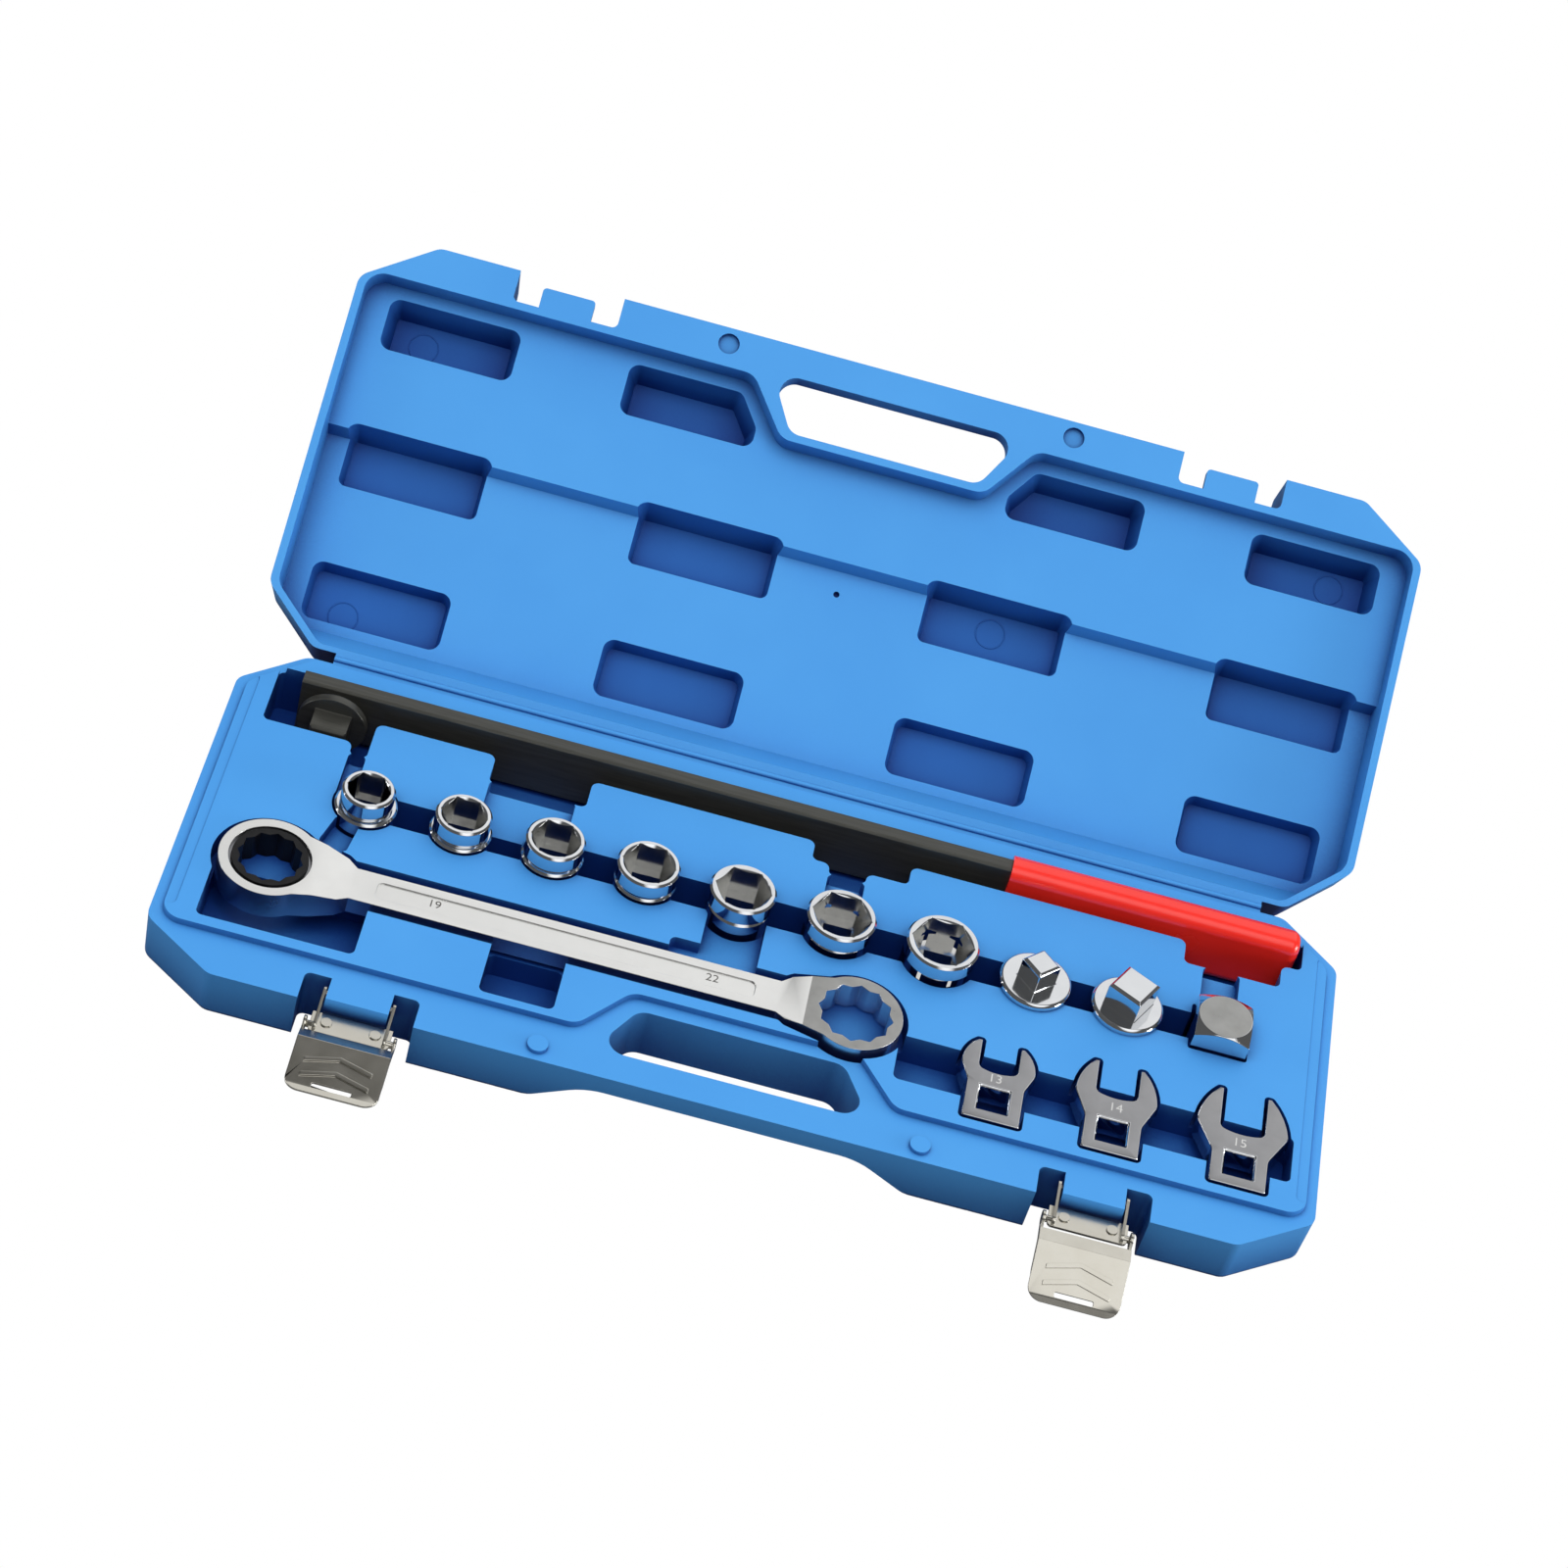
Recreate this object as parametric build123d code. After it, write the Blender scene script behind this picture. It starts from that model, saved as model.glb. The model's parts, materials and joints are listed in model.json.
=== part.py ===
from build123d import *
import math
import os

# Case halves. Both share one outline: x along the case, v measured from the hinge axis to the front.
# What sits by the front edge is given by its distance back from it, and what sits by an end likewise
case_length = 390.0
case_depth = 154.0
tray_height = 20.0
lid_height = 25.0
back_wall_v = 2.2
front_corner_x = 24.7
front_corner_v = 17.4
back_corner_x = 20.5
back_corner_v = 18.5
outline_radius = 6.0
wall_draft = 2.0
edge_radius = 3.0
rim_clearance = 0.15
floor_skin = 2.5
overcut = 10.0
lid_lean = 32.6

# Living hinge: a bead on the axis with a tongue to the tray
bead_radius = 1.1
bead_clearance = 0.05
web_end_gap = 2.5
tongue_root = 0.5

# Raised deck of the tray and the panel recess of the lid that closes over it
deck_rise = 2.2
deck_draft = 5.0
deck_clearance = 1.0
deck_front_clearance = 3.0
deck_notch_clearance = 2.0
recess_side = 2.8
recess_front = 14.3
recess_back_v = 4.0
recess_slope_v = 12.0
recess_step_v = 82.0
recess_step_run = 2.0
recess_front_depth = 9.0
recess_back_depth = 15.0
recess_draft = 3.0
panel_radius = 7.0
panel_corner_x = 19.4
panel_corner_v = 17.5
notch_front_half = 52.0
notch_back_half = 37.0
notch_front = 34.8

# Carrying handle
handle_front_half = 46.0
handle_back_half = 34.5
handle_back = 32.0
handle_front = 11.5
handle_radius = 6.0
handle_thickness = 7.6
arch_flat_half = 45.0
arch_foot_half = 66.0
arch_front = 17.5
arch_radius = 22.0

# Locating studs of the rim
stud_x = 63.4
stud_front = 5.9
stud_radius = 3.4
stud_height = 1.5
stud_clearance = 0.4

# Latch bays and tabs
latch_x = 122.0
bay_half = 19.0
bay_front = 11.5
tab_half = 10.3
nose_radius = 6.0
latch_pivot_front = 7.5
latch_pivot_drop = 3.5
lip_thickness = 3.2
lip_front = 3.8
lip_half = 9.5
lip_radius = 1.4

# Latch link and lever, stamped plate
sheet = 1.0
peg_radius = 1.2
peg_clearance = 0.05
peg_length = 3.0
cheek_gap = 0.6
eye_radius = 2.4
link_corner_radius = 1.5
link_plate_start = 6.9
link_plate_end = 15.3
link_offset = 2.0
link_plate_half = 13.2
lever_pivot_t = 12.5
lever_half = 15.2
lever_length = 28.0
lever_base = 3.6
lever_base_rise = 1.6
lever_rise = 4.4
lever_bend = 8.0
lever_curl = 0.8
lever_curl_length = 2.5
lever_tip_radius = 5.0
ear_radius = 2.6
flange_depth = 1.6
chevron_half = 11.0
chevron_width = 1.6
chevron_drop = 2.9
chevron_height = 0.6
chevron_places = (12.5, 18.0)
lever_slot_u = 24.5
lever_slot_half = 6.5
lever_slot_width = 1.8
dimple_x = 8.0
dimple_radius = 1.9
dimple_height = 0.5
lever_droop_left = 10.0
lever_droop_right = 28.0

# Sockets, standing mouth up in one row
socket_sizes = (13, 14, 15, 16, 17, 18, 19)
socket_places = (-139.5, -107.0, -75.5, -43.5, -11.0, 23.0, 58.0)
socket_row_back = 35.7
socket_height = 25.0
socket_show = 8.3
socket_wall_share = 0.59
socket_wall = 1.3
drive_radius = 10.6
shoulder_height = 17.8
groove_width = 1.5
groove_depth = 0.8
hex_depth = 11.0
drive_square = 9.5
drive_clearance = 0.15
pocket_clearance = 0.8

# Drive adapters and the square coupler at the end of the row
adapter_places = (91.5, 123.5)
adapter_squares = (9.5, 12.7)
adapter_post_heights = (8.5, 9.5)
adapter_turns = (45.0, 62.0)
adapter_disc_radius = 12.5
adapter_disc_height = 2.5
adapter_hex = 19.0
adapter_shank = 14.0
post_chamfer = 0.9
coupler_x = 156.0
coupler_square = 19.0
coupler_pocket_radius = 1.0
coupler_top_radius = 9.2
coupler_chamfer_angle = 30.0
coupler_bore_depth = 14.0

# Ratchet ring spanner
ratchet_end = 31.5
ring_x = 34.5
spanner_front = 52.0
ratchet_radius = 17.0
ring_radius = 15.9
ring_size = 22.0
ratchet_size = 19.0
ratchet_thickness = 10.5
ring_thickness = 10.0
handle_width = 14.0
handle_bar_thickness = 6.5
neck_half = 9.6
neck_ratchet_reach = 24.5
neck_ring_reach = 22.5
neck_end = 3.5
spanner_show = 2.0
neck_shoulder = 0.9
neck_root = 4.0
ratchet_neck_back = 8.0
ring_neck_back = 6.0
panel_width = 7.0
panel_end_radius = 2.0
panel_depth = 0.5
panel_margin = 8.0
gear_tip_radius = 13.6
gear_root_radius = 13.0
gear_teeth = 48
gear_height = 6.2
gear_collar_radius = 12.6
gear_clearance = 0.06
gear_axial = 0.1
gear_lip = 1.6
clip_thickness = 1.0
clip_outer_radius = 14.5
clip_gap_angle = 24.0
pawl_length = 5.0
pawl_width = 8.0
pawl_height = 5.0
pawl_draw = 0.9
pawl_clearance = 0.1
pawl_room_radius = 0.8
spring_room = 4.0
spring_sheet = 0.6
spring_width = 4.0

# Crow-foot spanners: jaw size, place, head width, jaw reach, shoulder, slot floor and waist
crowfoot_sizes = (13, 14, 15)
crowfoot_ends = (110.8, 70.7, 27.6)
crowfoot_heads = (25.0, 28.0, 31.4)
crowfoot_reaches = (25.0, 29.5, 32.0)
crowfoot_shoulders = (13.8, 14.8, 16.0)
crowfoot_floors = (11.7, 14.6, 13.4)
crowfoot_waists = (6.8, 4.6, 4.4)
crowfoot_front = 31.7
crowfoot_half = 9.7
crowfoot_heel = 9.5
crowfoot_floor_rise = 1.4
crowfoot_bow = 1.5
crowfoot_tip = 1.5
crowfoot_thickness = 8.0
crowfoot_show = 0.4
crowfoot_chamfer = 0.4
crowfoot_fillets = (0.8, 6.0, 3.0, 0.5, 0.5, 2.4)
crowfoot_frame = 0.8
crowfoot_clearance = 1.1

# Long tensioner bar with its drive stud and dipped grip
bar_left_end = 22.0
bar_right_end = 17.0
bar_v = 18.5
bar_thickness = 6.0
bar_height = 23.0
bar_chamfer = 0.8
grip_length = 103.0
grip_thickness = 11.0
grip_skin = 1.6
grip_radius = 4.6
grip_end = 2.0
grip_end_radius = 3.5
drive_inset = 13.0
drive_shank_radius = 5.0
drive_shank_clearance = 0.05
drive_shoulder_hex = 13.0
drive_shoulder_length = 3.0
drive_flange_radius = 12.0
drive_flange_length = 3.0
drive_stud_square = 12.7
drive_stud_length = 9.0
drive_room = 2.5

# Pockets of the tray, in x and v
bar_pocket_left = 9.0
bar_pocket_right = 2.0
bar_pocket_clearance = 0.5
bar_pocket_front_v = 27.5
pocket_radius = 2.2
deep_bays = ((-150.5, -144.5, 45.0), (-103.0, -69.0, 40.5), (9.5, 43.5, 36.3), (16.0, 29.0, 41.5))
grip_bay = (54.0, 20.0, 38.0)
shallow_drop = 5.0
shallow_runs = ((-150.5, -144.5, 44.0), (-102.5, -72.5, 39.5), (16.0, 29.0, 41.0), (148.0, 161.0, 37.5))
slanted_run = ((-8.0, 28.0), (0.5, 28.0), (-1.5, 12.0), (-11.5, 14.0))
channel_run = (-20.5, -0.5)
channel_notch = (-30.5, -0.5, 14.0, 7.0)
row_channel_half = 6.0
row_channel_drop = 14.0
spanner_channel_back = 10.0
spanner_channel_front = 10.3
ring_pocket_clearance = 2.2
well_drop = 18.0
ratchet_well = (17.0, 35.5, 21.5)
middle_well = (-86.5, -61.5, 20.5)
foot_channel_back = 17.8
foot_channel_front = 1.7
foot_channel_end = 10.0
foot_channel_drop = 12.5
strip_end = 7.6
strip_back_v = 19.0
strip_front = 23.0
strip_drop = 0.5

# Stacking pockets of the lid panel, given on the right of the centre, and its vent
lid_pocket_skin = 3.0
lid_pocket_draft = 13.0
lid_pocket_radius = 4.0
lid_back_row = (15.6, 36.6)
lid_middle_row = (63.6, 86.6)
lid_front_row = (38.4, 19.2)
lid_back_columns = ((27.5, 78.3), (133.6, 183.4))
lid_middle_columns = ((26.1, 79.7), (132.2, 184.8))
lid_front_columns = ((46.3, 95.1), (134.8, 182.5))
lid_cut_x = 8.0
lid_cut_v = 11.5
vent_x = -3.8
vent_v = 73.6
vent_radius = 1.1
vent_depth = 2.5

# Levels and the frame: origin at the centre of the tray's underside
hinge_y = case_depth / 2
recess_front_v = case_depth - recess_front
notch_v = case_depth - notch_front
handle_back_v = case_depth - handle_back
handle_front_v = case_depth - handle_front
arch_back_v = case_depth - arch_front
stud_v = case_depth - stud_front
bay_back_v = case_depth - bay_front
latch_pivot_v = case_depth - latch_pivot_front
lip_front_v = case_depth - lip_front
spanner_v = case_depth - spanner_front
crowfoot_v = case_depth - crowfoot_front
socket_row_v = spanner_v - socket_row_back
half_length = case_length / 2
ratchet_x = ratchet_end - half_length
crowfoot_places = [half_length - end for end in crowfoot_ends]
bar_left = bar_left_end - half_length
bar_right = half_length - bar_right_end
grip_left = bar_right + grip_end - grip_length
drive_x = bar_left + drive_inset
drive_end_v = bar_v + bar_thickness / 2 + drive_shoulder_length + drive_flange_length + drive_stud_length
deck_z = tray_height + deck_rise
socket_z = deck_z + socket_show - socket_height
spanner_z = deck_z + spanner_show - ratchet_thickness / 2
crowfoot_z = deck_z + crowfoot_show - crowfoot_thickness
bar_z = floor_skin + grip_skin
bar_mid_z = bar_z + bar_height / 2
reach = case_length
over = case_depth + overcut


def tray_plane(z):
    """Plane whose local x and y are x and v of the tray, facing down."""
    return Plane(origin=(0, hinge_y, z), x_dir=(1, 0, 0), z_dir=(0, 0, -1))


def lid_plane(n):
    """Plane whose local x and y are x and v of the lid laid flat open, inner face up."""
    return Plane(origin=(0, hinge_y, tray_height + n), x_dir=(1, 0, 0), z_dir=(0, 0, 1))


def side_plane(x, v, z):
    """Plane across the case at x: local x runs forward, local y up, facing along the case."""
    return Plane(origin=(x, hinge_y - v, z), x_dir=(0, -1, 0), z_dir=(-1, 0, 0))


def rounded(points, radius):
    """Polygon with every corner rounded."""
    face = make_face(Polyline(*points, close=True))
    return fillet(face.vertices(), radius)


def box_sketch(x0, x1, v0, v1, radius):
    """Rectangle between two x and two v values, with rounded corners."""
    return Pos((x0 + x1) / 2, (v0 + v1) / 2) * RectangleRounded(x1 - x0, v1 - v0, radius)


def down(sketch, top, bottom):
    """Solid under a tray sketch, between two levels."""
    return extrude(tray_plane(top) * sketch, top - bottom)


def across(sketch, x_centre, v, z, width):
    """Side-view sketch made solid across the case, centred on x."""
    return extrude(side_plane(x_centre + width / 2, v, z) * sketch, width)


def case_outline():
    """Plan outline of a case half."""
    half = half_length
    right = [(half - back_corner_x, back_wall_v), (half, back_wall_v + back_corner_v),
             (half, case_depth - front_corner_v), (half - front_corner_x, case_depth)]
    left = [(-x, v) for x, v in reversed(right)]
    return rounded(right + left, outline_radius)


def panel_outline(inset, front_inset, notch_inset):
    """Plan outline of the lid's recess, or of the deck when it is inset from it."""
    half = half_length - recess_side - inset
    back = recess_back_v + inset
    front = recess_front_v - front_inset
    right = [(half - panel_corner_x, back), (half, back + panel_corner_v), (half, front),
             (notch_front_half + inset, front), (notch_back_half + inset, notch_v - notch_inset)]
    left = [(-x, v) for x, v in reversed(right)]
    return rounded(right + left, panel_radius)


def handle_outline():
    """Plan outline of the hand hole."""
    right = [(handle_back_half, handle_back_v), (handle_front_half, handle_front_v)]
    left = [(-x, v) for x, v in reversed(right)]
    return rounded(right + left, handle_radius)


def handle_arch(height):
    """Relief under the grip bar, seen from the front, swung up from the underside to its height."""
    run = arch_foot_half + arch_radius
    right = [(run, -arch_radius), (run, 0), (arch_foot_half, 0), (arch_flat_half, height)]
    left = [(-x, z) for x, z in reversed(right)]
    face = make_face(Polyline(*right, *left, close=True))
    bends = [vertex for vertex in face.vertices() if abs(vertex.X) < run - arch_radius / 2]
    return fillet(bends, arch_radius)


def hexagon(size):
    """Hexagon by its width across flats."""
    return RegularPolygon(size / 2, 6, major_radius=False)


def twelve_point(size):
    """Twelve-point opening by its width across flats."""
    return hexagon(size) + Rot(0, 0, 30) * hexagon(size)


def socket_top_radius(size):
    """Radius of a socket's mouth end."""
    return size * socket_wall_share + socket_wall


def crowfoot_outline(index):
    """Plan of a crow-foot spanner about its drive square, with bowed jaws to +y."""
    jaw = crowfoot_sizes[index] / 2
    head = crowfoot_heads[index] / 2
    top = crowfoot_reaches[index]
    floor = crowfoot_floors[index]
    shoulder = crowfoot_shoulders[index]
    tip = jaw + crowfoot_tip
    bow = ((head + tip) / 2 + crowfoot_bow, (shoulder + top) / 2)
    corners = [(crowfoot_half, -crowfoot_heel), (crowfoot_half, crowfoot_waists[index]),
               (head, shoulder), (tip, top), (jaw, top), (jaw, floor + crowfoot_floor_rise)]
    side = [Polyline((0, floor), (0, -crowfoot_heel), *corners[:3]),
            ThreePointArc(corners[2], bow, corners[3]), Polyline(*corners[3:]),
            TangentArc((0, floor), corners[5], tangent=(1, 0))]
    half = make_face([edge for line in side for edge in line.edges()])
    face = half + mirror(half, Plane.YZ)
    for (x, y), radius in zip(corners, crowfoot_fillets):
        pair = [vertex for vertex in face.vertices() if math.dist((abs(vertex.X), vertex.Y), (x, y)) < 1e-4]
        face = fillet(pair, radius)
    return face


def spanner_plan(grow):
    """Plan of the spanner in x and v, grown all round for its pocket."""
    ratchet = Pos(ratchet_x, spanner_v) * Circle(ratchet_radius + grow)
    ring = Pos(ring_x, spanner_v) * Circle(ring_radius + grow)
    bar_half = handle_width / 2 + grow
    neck = neck_half + grow
    near = ratchet_x + neck_ratchet_reach
    far = ring_x - neck_ring_reach
    points = [
        (ratchet_x + neck_root, spanner_v - (ratchet_radius + grow) * neck_shoulder),
        (near, spanner_v - neck), (near + neck_end, spanner_v - bar_half),
        (far - neck_end, spanner_v - bar_half),
        (far, spanner_v - neck), (ring_x - neck_root, spanner_v - (ring_radius + grow) * neck_shoulder),
    ]
    lower = [(x, 2 * spanner_v - v) for x, v in reversed(points)]
    return ratchet + ring + make_face(Polyline(*points, *lower, close=True))


def spring_leaf():
    """Bent leaf in plan: two ends on the pawl, its bend on the wall behind."""
    half = pawl_width / 2 - spring_sheet
    bend = spring_room - 2 * pawl_clearance
    points = [(0, -half), (bend - spring_sheet, 0), (0, half),
              (spring_sheet, half), (bend, 0), (spring_sheet, -half)]
    return make_face(Polyline(*points, close=True))


def tray_pockets():
    """All hollows of the tray's deck, with their floors."""
    top = deck_z
    deep = floor_skin
    bar_back = bar_v - grip_thickness / 2 - bar_pocket_clearance
    left = bar_left - bar_pocket_left
    right = bar_right + grip_end + bar_pocket_right
    slot = box_sketch(left, right, bar_back, bar_pocket_front_v, pocket_radius)
    hollows = down(slot, top, deep)
    drive_bay = (left, drive_x + drive_flange_radius + bar_pocket_clearance, drive_end_v + drive_room)
    far, near, v1 = grip_bay
    for x0, x1, v1 in (drive_bay, *deep_bays, (half_length - far, half_length - near, v1)):
        hollows += down(box_sketch(x0, x1, bar_back, v1, pocket_radius), top, deep)
    for x0, x1, v0 in shallow_runs:
        hollows += down(box_sketch(x0, x1, v0, socket_row_v, pocket_radius), top, top - shallow_drop)
    slant = [(socket_places[0] + x, spanner_v - back) for x, back in slanted_run]
    hollows += down(rounded(slant, pocket_radius), top, top - shallow_drop)
    x0, x1, back, front = channel_notch
    run = box_sketch(*channel_run, socket_row_v, spanner_v - front, pocket_radius)
    hollows += down(run, top, top - shallow_drop)
    notch = box_sketch(x0, x1, spanner_v - back, spanner_v - front, pocket_radius)
    hollows += down(notch, top, top - shallow_drop)
    for side in (-1, 1):
        inner, outer = sorted((side * (half_length - strip_end), side * half_length))
        strip = box_sketch(inner, outer, strip_back_v, case_depth - strip_front, pocket_radius)
        hollows += down(strip, top, top - strip_drop)
    row = box_sketch(socket_places[0], coupler_x, socket_row_v - row_channel_half,
                     socket_row_v + row_channel_half, pocket_radius)
    hollows += down(row, top, top - row_channel_drop)
    for size, x in zip(socket_sizes, socket_places):
        radius = max(socket_top_radius(size), drive_radius) + pocket_clearance
        hollows += down(Pos(x, socket_row_v) * Circle(radius), top, socket_z)
    hex_points = adapter_hex / math.sqrt(3)
    for x in adapter_places:
        hole = Pos(x, socket_row_v) * Circle(hex_points + pocket_clearance)
        hollows += down(hole, top, top - adapter_shank - pocket_clearance)
    square = coupler_square + 2 * pocket_clearance
    seat = Pos(coupler_x, socket_row_v) * RectangleRounded(square, square, coupler_pocket_radius)
    hollows += down(seat, top, socket_z)
    bar_floor = spanner_z - handle_bar_thickness / 2
    channel = box_sketch(ratchet_x, ring_x, spanner_v - spanner_channel_back,
                         spanner_v + spanner_channel_front, pocket_radius)
    hollows += down(channel, top, bar_floor)
    seat = spanner_z - ratchet_thickness / 2 - rim_clearance
    hollows += down(spanner_plan(ring_pocket_clearance), top, seat)
    left, right, front = ratchet_well
    well = box_sketch(ratchet_x - left, ratchet_x + right, spanner_v, case_depth - front, pocket_radius)
    hollows += down(well, top, top - well_drop)
    x0, x1, front = middle_well
    well = box_sketch(x0, x1, spanner_v + handle_width / 2, case_depth - front, pocket_radius)
    hollows += down(well, top, top - well_drop)
    feet = box_sketch(ring_x + ring_radius, half_length - foot_channel_end, crowfoot_v - foot_channel_back,
                      crowfoot_v + foot_channel_front, pocket_radius)
    hollows += down(feet, top, top - foot_channel_drop)
    for index, x in enumerate(crowfoot_places):
        plan = offset(crowfoot_outline(index), crowfoot_clearance)
        hollows += down(Pos(x, crowfoot_v) * Rot(0, 0, 180) * plan, top, crowfoot_z)
    return hollows


def tray():
    """Lower half of the case: moulded tray with its deck, pockets, handle and latch tabs."""
    rim = tray_height - rim_clearance
    body = extrude(tray_plane(rim) * case_outline(), rim, taper=wall_draft)
    body = fillet(body.edges().group_by(Axis.Z)[0], edge_radius)
    deck = panel_outline(deck_clearance, deck_front_clearance, deck_notch_clearance)
    body += extrude(tray_plane(rim) * deck, -(deck_z - rim), taper=deck_draft)
    body -= down(handle_outline(), deck_z, -1)
    arch = Plane(origin=(0, hinge_y - arch_back_v, 0), x_dir=(1, 0, 0), z_dir=(0, -1, 0))
    body -= extrude(arch * handle_arch(tray_height - handle_thickness), reach)
    pivot_z = tray_height - latch_pivot_drop
    for side in (-1, 1):
        x = side * latch_x
        bay = box_sketch(x - bay_half, x + bay_half, bay_back_v, over, pocket_radius)
        body -= down(bay, deck_z, -1)
        root = bay_back_v - latch_pivot_v - 1
        profile = Circle(nose_radius) + Pos(root / 2, 0) * Rectangle(-root, 2 * nose_radius)
        profile &= Pos(0, latch_pivot_drop - rim_clearance - reach / 2) * Rectangle(reach, reach)
        tab = across(profile, x, latch_pivot_v, pivot_z, 2 * tab_half)
        tab -= across(Circle(peg_radius + peg_clearance), x, latch_pivot_v, pivot_z, 4 * tab_half)
        body += tab
        body += down(Pos(side * stud_x, stud_v) * Circle(stud_radius), rim + stud_height, rim)
    return body - tray_pockets()


def lid_recess():
    """Panel recess of the lid in two depths, sloped up to the hinge."""
    plan = extrude(lid_plane(0) * panel_outline(0, 0, 0), -(recess_back_depth + 1), taper=recess_draft)
    deep, shallow = -recess_back_depth, -recess_front_depth
    profile = [(recess_back_v, 0), (recess_slope_v, deep), (recess_step_v, deep),
               (recess_step_v + recess_step_run, shallow), (case_depth, shallow), (case_depth, 1),
               (recess_back_v, 1)]
    side = Plane(origin=(reach / 2, hinge_y, tray_height), x_dir=(0, 1, 0), z_dir=(1, 0, 0))
    return plan & extrude(side * make_face(Polyline(*profile, close=True)), -reach)


def pocket_mouth(inner, outer, v0, v1):
    """Mouth of a stacking pocket right of the centre, cut back where it comes near the hand hole."""
    corner = [(inner, v1)]
    if v1 > handle_back_v and inner < notch_front_half:
        corner = [(inner + lid_cut_x, v1), (inner, v1 - lid_cut_v)]
    return rounded([(inner, v0), (outer, v0), (outer, v1)] + corner, lid_pocket_radius)


def lid_pockets():
    """Tapered stacking pockets of the lid panel; the middle row cuts through its step."""
    front_row = [case_depth - front for front in lid_front_row]
    rows = ((lid_back_row, lid_back_columns, recess_back_depth),
            (lid_middle_row, lid_middle_columns, recess_front_depth),
            (front_row, lid_front_columns, recess_front_depth))
    pockets = []
    for (v0, v1), columns, level in rows:
        depth = lid_height - lid_pocket_skin - level
        for inner, outer in columns:
            mouth = lid_plane(-level) * pocket_mouth(inner, outer, v0, v1)
            pocket = extrude(mouth, -depth, taper=lid_pocket_draft)
            pockets += [pocket, mirror(pocket, Plane.YZ)]
    return pockets


def lid():
    """Upper half of the case, modelled flat open and then leaned back about the hinge."""
    rim = -rim_clearance
    body = extrude(lid_plane(rim) * case_outline(), -(lid_height + rim), taper=wall_draft)
    body = fillet(body.edges().group_by(Axis.Z)[0], edge_radius)
    body -= lid_recess()
    body -= lid_pockets()
    vent = Pos(vent_x, vent_v) * Circle(vent_radius)
    body -= extrude(lid_plane(-recess_back_depth) * vent, -vent_depth)
    body -= extrude(lid_plane(1) * handle_outline(), -reach)
    base = tray_height - lid_height
    arch = Plane(origin=(0, hinge_y + arch_back_v, base), x_dir=(-1, 0, 0), z_dir=(0, 1, 0))
    body -= extrude(arch * handle_arch(lid_height - handle_thickness), reach)
    for side in (-1, 1):
        x = side * latch_x
        bay = box_sketch(x - bay_half, x + bay_half, bay_back_v, over, pocket_radius)
        body -= extrude(lid_plane(1) * bay, -reach)
        lip = box_sketch(x - lip_half, x + lip_half, bay_back_v - 2, lip_front_v, lip_radius)
        body += extrude(lid_plane(rim) * lip, -lip_thickness)
        dimple = Pos(side * stud_x, stud_v) * Circle(stud_radius + stud_clearance)
        body -= extrude(lid_plane(1) * dimple, -1 - stud_height - stud_clearance)
    edge = Plane(origin=(-hinge_half(), hinge_y, tray_height), x_dir=(0, 1, 0), z_dir=(1, 0, 0))
    seat = hinge_tongue(tongue_root) - Circle(bead_radius + bead_clearance)
    body += extrude(edge * seat, 2 * hinge_half())
    return lean(body)


def lean(shape):
    """Turn a flat-open lid shape to its open rest angle."""
    return shape.rotate(Axis((0, hinge_y, tray_height), (1, 0, 0)), lid_lean)


def hinge_half():
    """Half the length of the hinge strip."""
    return half_length - back_corner_x - outline_radius - web_end_gap


def hinge_tongue(root):
    """Side view of the tongue from the hinge axis to a case half's back wall, rooted in it."""
    thickness = bead_radius - rim_clearance
    length = back_wall_v + root
    return Pos(length / 2, -bead_radius + thickness / 2) * Rectangle(length, thickness)


def hinge_web():
    """Flexing strip of the hinge: bead on the axis and tongue to the tray wall."""
    return across(Circle(bead_radius) + hinge_tongue(0), 0, 0, tray_height, 2 * hinge_half())


def latch_link(side):
    """Stamped link plate with two cheeks and its pegs, standing straight out of the tab."""
    x = side * latch_x
    pivot_z = tray_height - latch_pivot_drop
    cheek_in = tab_half + cheek_gap
    low = -link_offset - sheet / 2
    plate = Pos((link_plate_start + link_plate_end) / 2, -link_offset)
    plate *= Rectangle(link_plate_end - link_plate_start, sheet)
    link = across(plate, x, latch_pivot_v, pivot_z, 2 * link_plate_half)
    corners = link.edges().filter_by(Axis.Z).group_by(Axis.Y)[0]
    link = fillet(corners, link_corner_radius)
    cheek = make_hull((Circle(eye_radius) + Pos(lever_pivot_t, -link_offset) * Circle(eye_radius)).edges())
    cheek &= Pos(0, reach / 2 + low) * Rectangle(reach, reach)
    for turn in (-1, 1):
        link += across(cheek, x + turn * (cheek_in + sheet / 2), latch_pivot_v, pivot_z, sheet)
        peg_x = x + turn * (cheek_in + sheet - (peg_length + cheek_gap + sheet) / 2)
        link += across(Circle(peg_radius), peg_x, latch_pivot_v, pivot_z, peg_length + cheek_gap + sheet)
        boss_end = lever_half
        boss_x = x + turn * (cheek_in + boss_end) / 2
        boss = Pos(lever_pivot_t, -link_offset) * Circle(peg_radius)
        link += across(boss, boss_x, latch_pivot_v, pivot_z, boss_end - cheek_in)
        spot = Pos(x + turn * dimple_x, hinge_y - latch_pivot_v - (link_plate_start + lever_pivot_t) / 2 - 1,
                   pivot_z - link_offset + sheet / 2)
        link += spot * Cylinder(dimple_radius, dimple_height, align=(Align.CENTER, Align.CENTER, Align.MIN))
    return link


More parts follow.
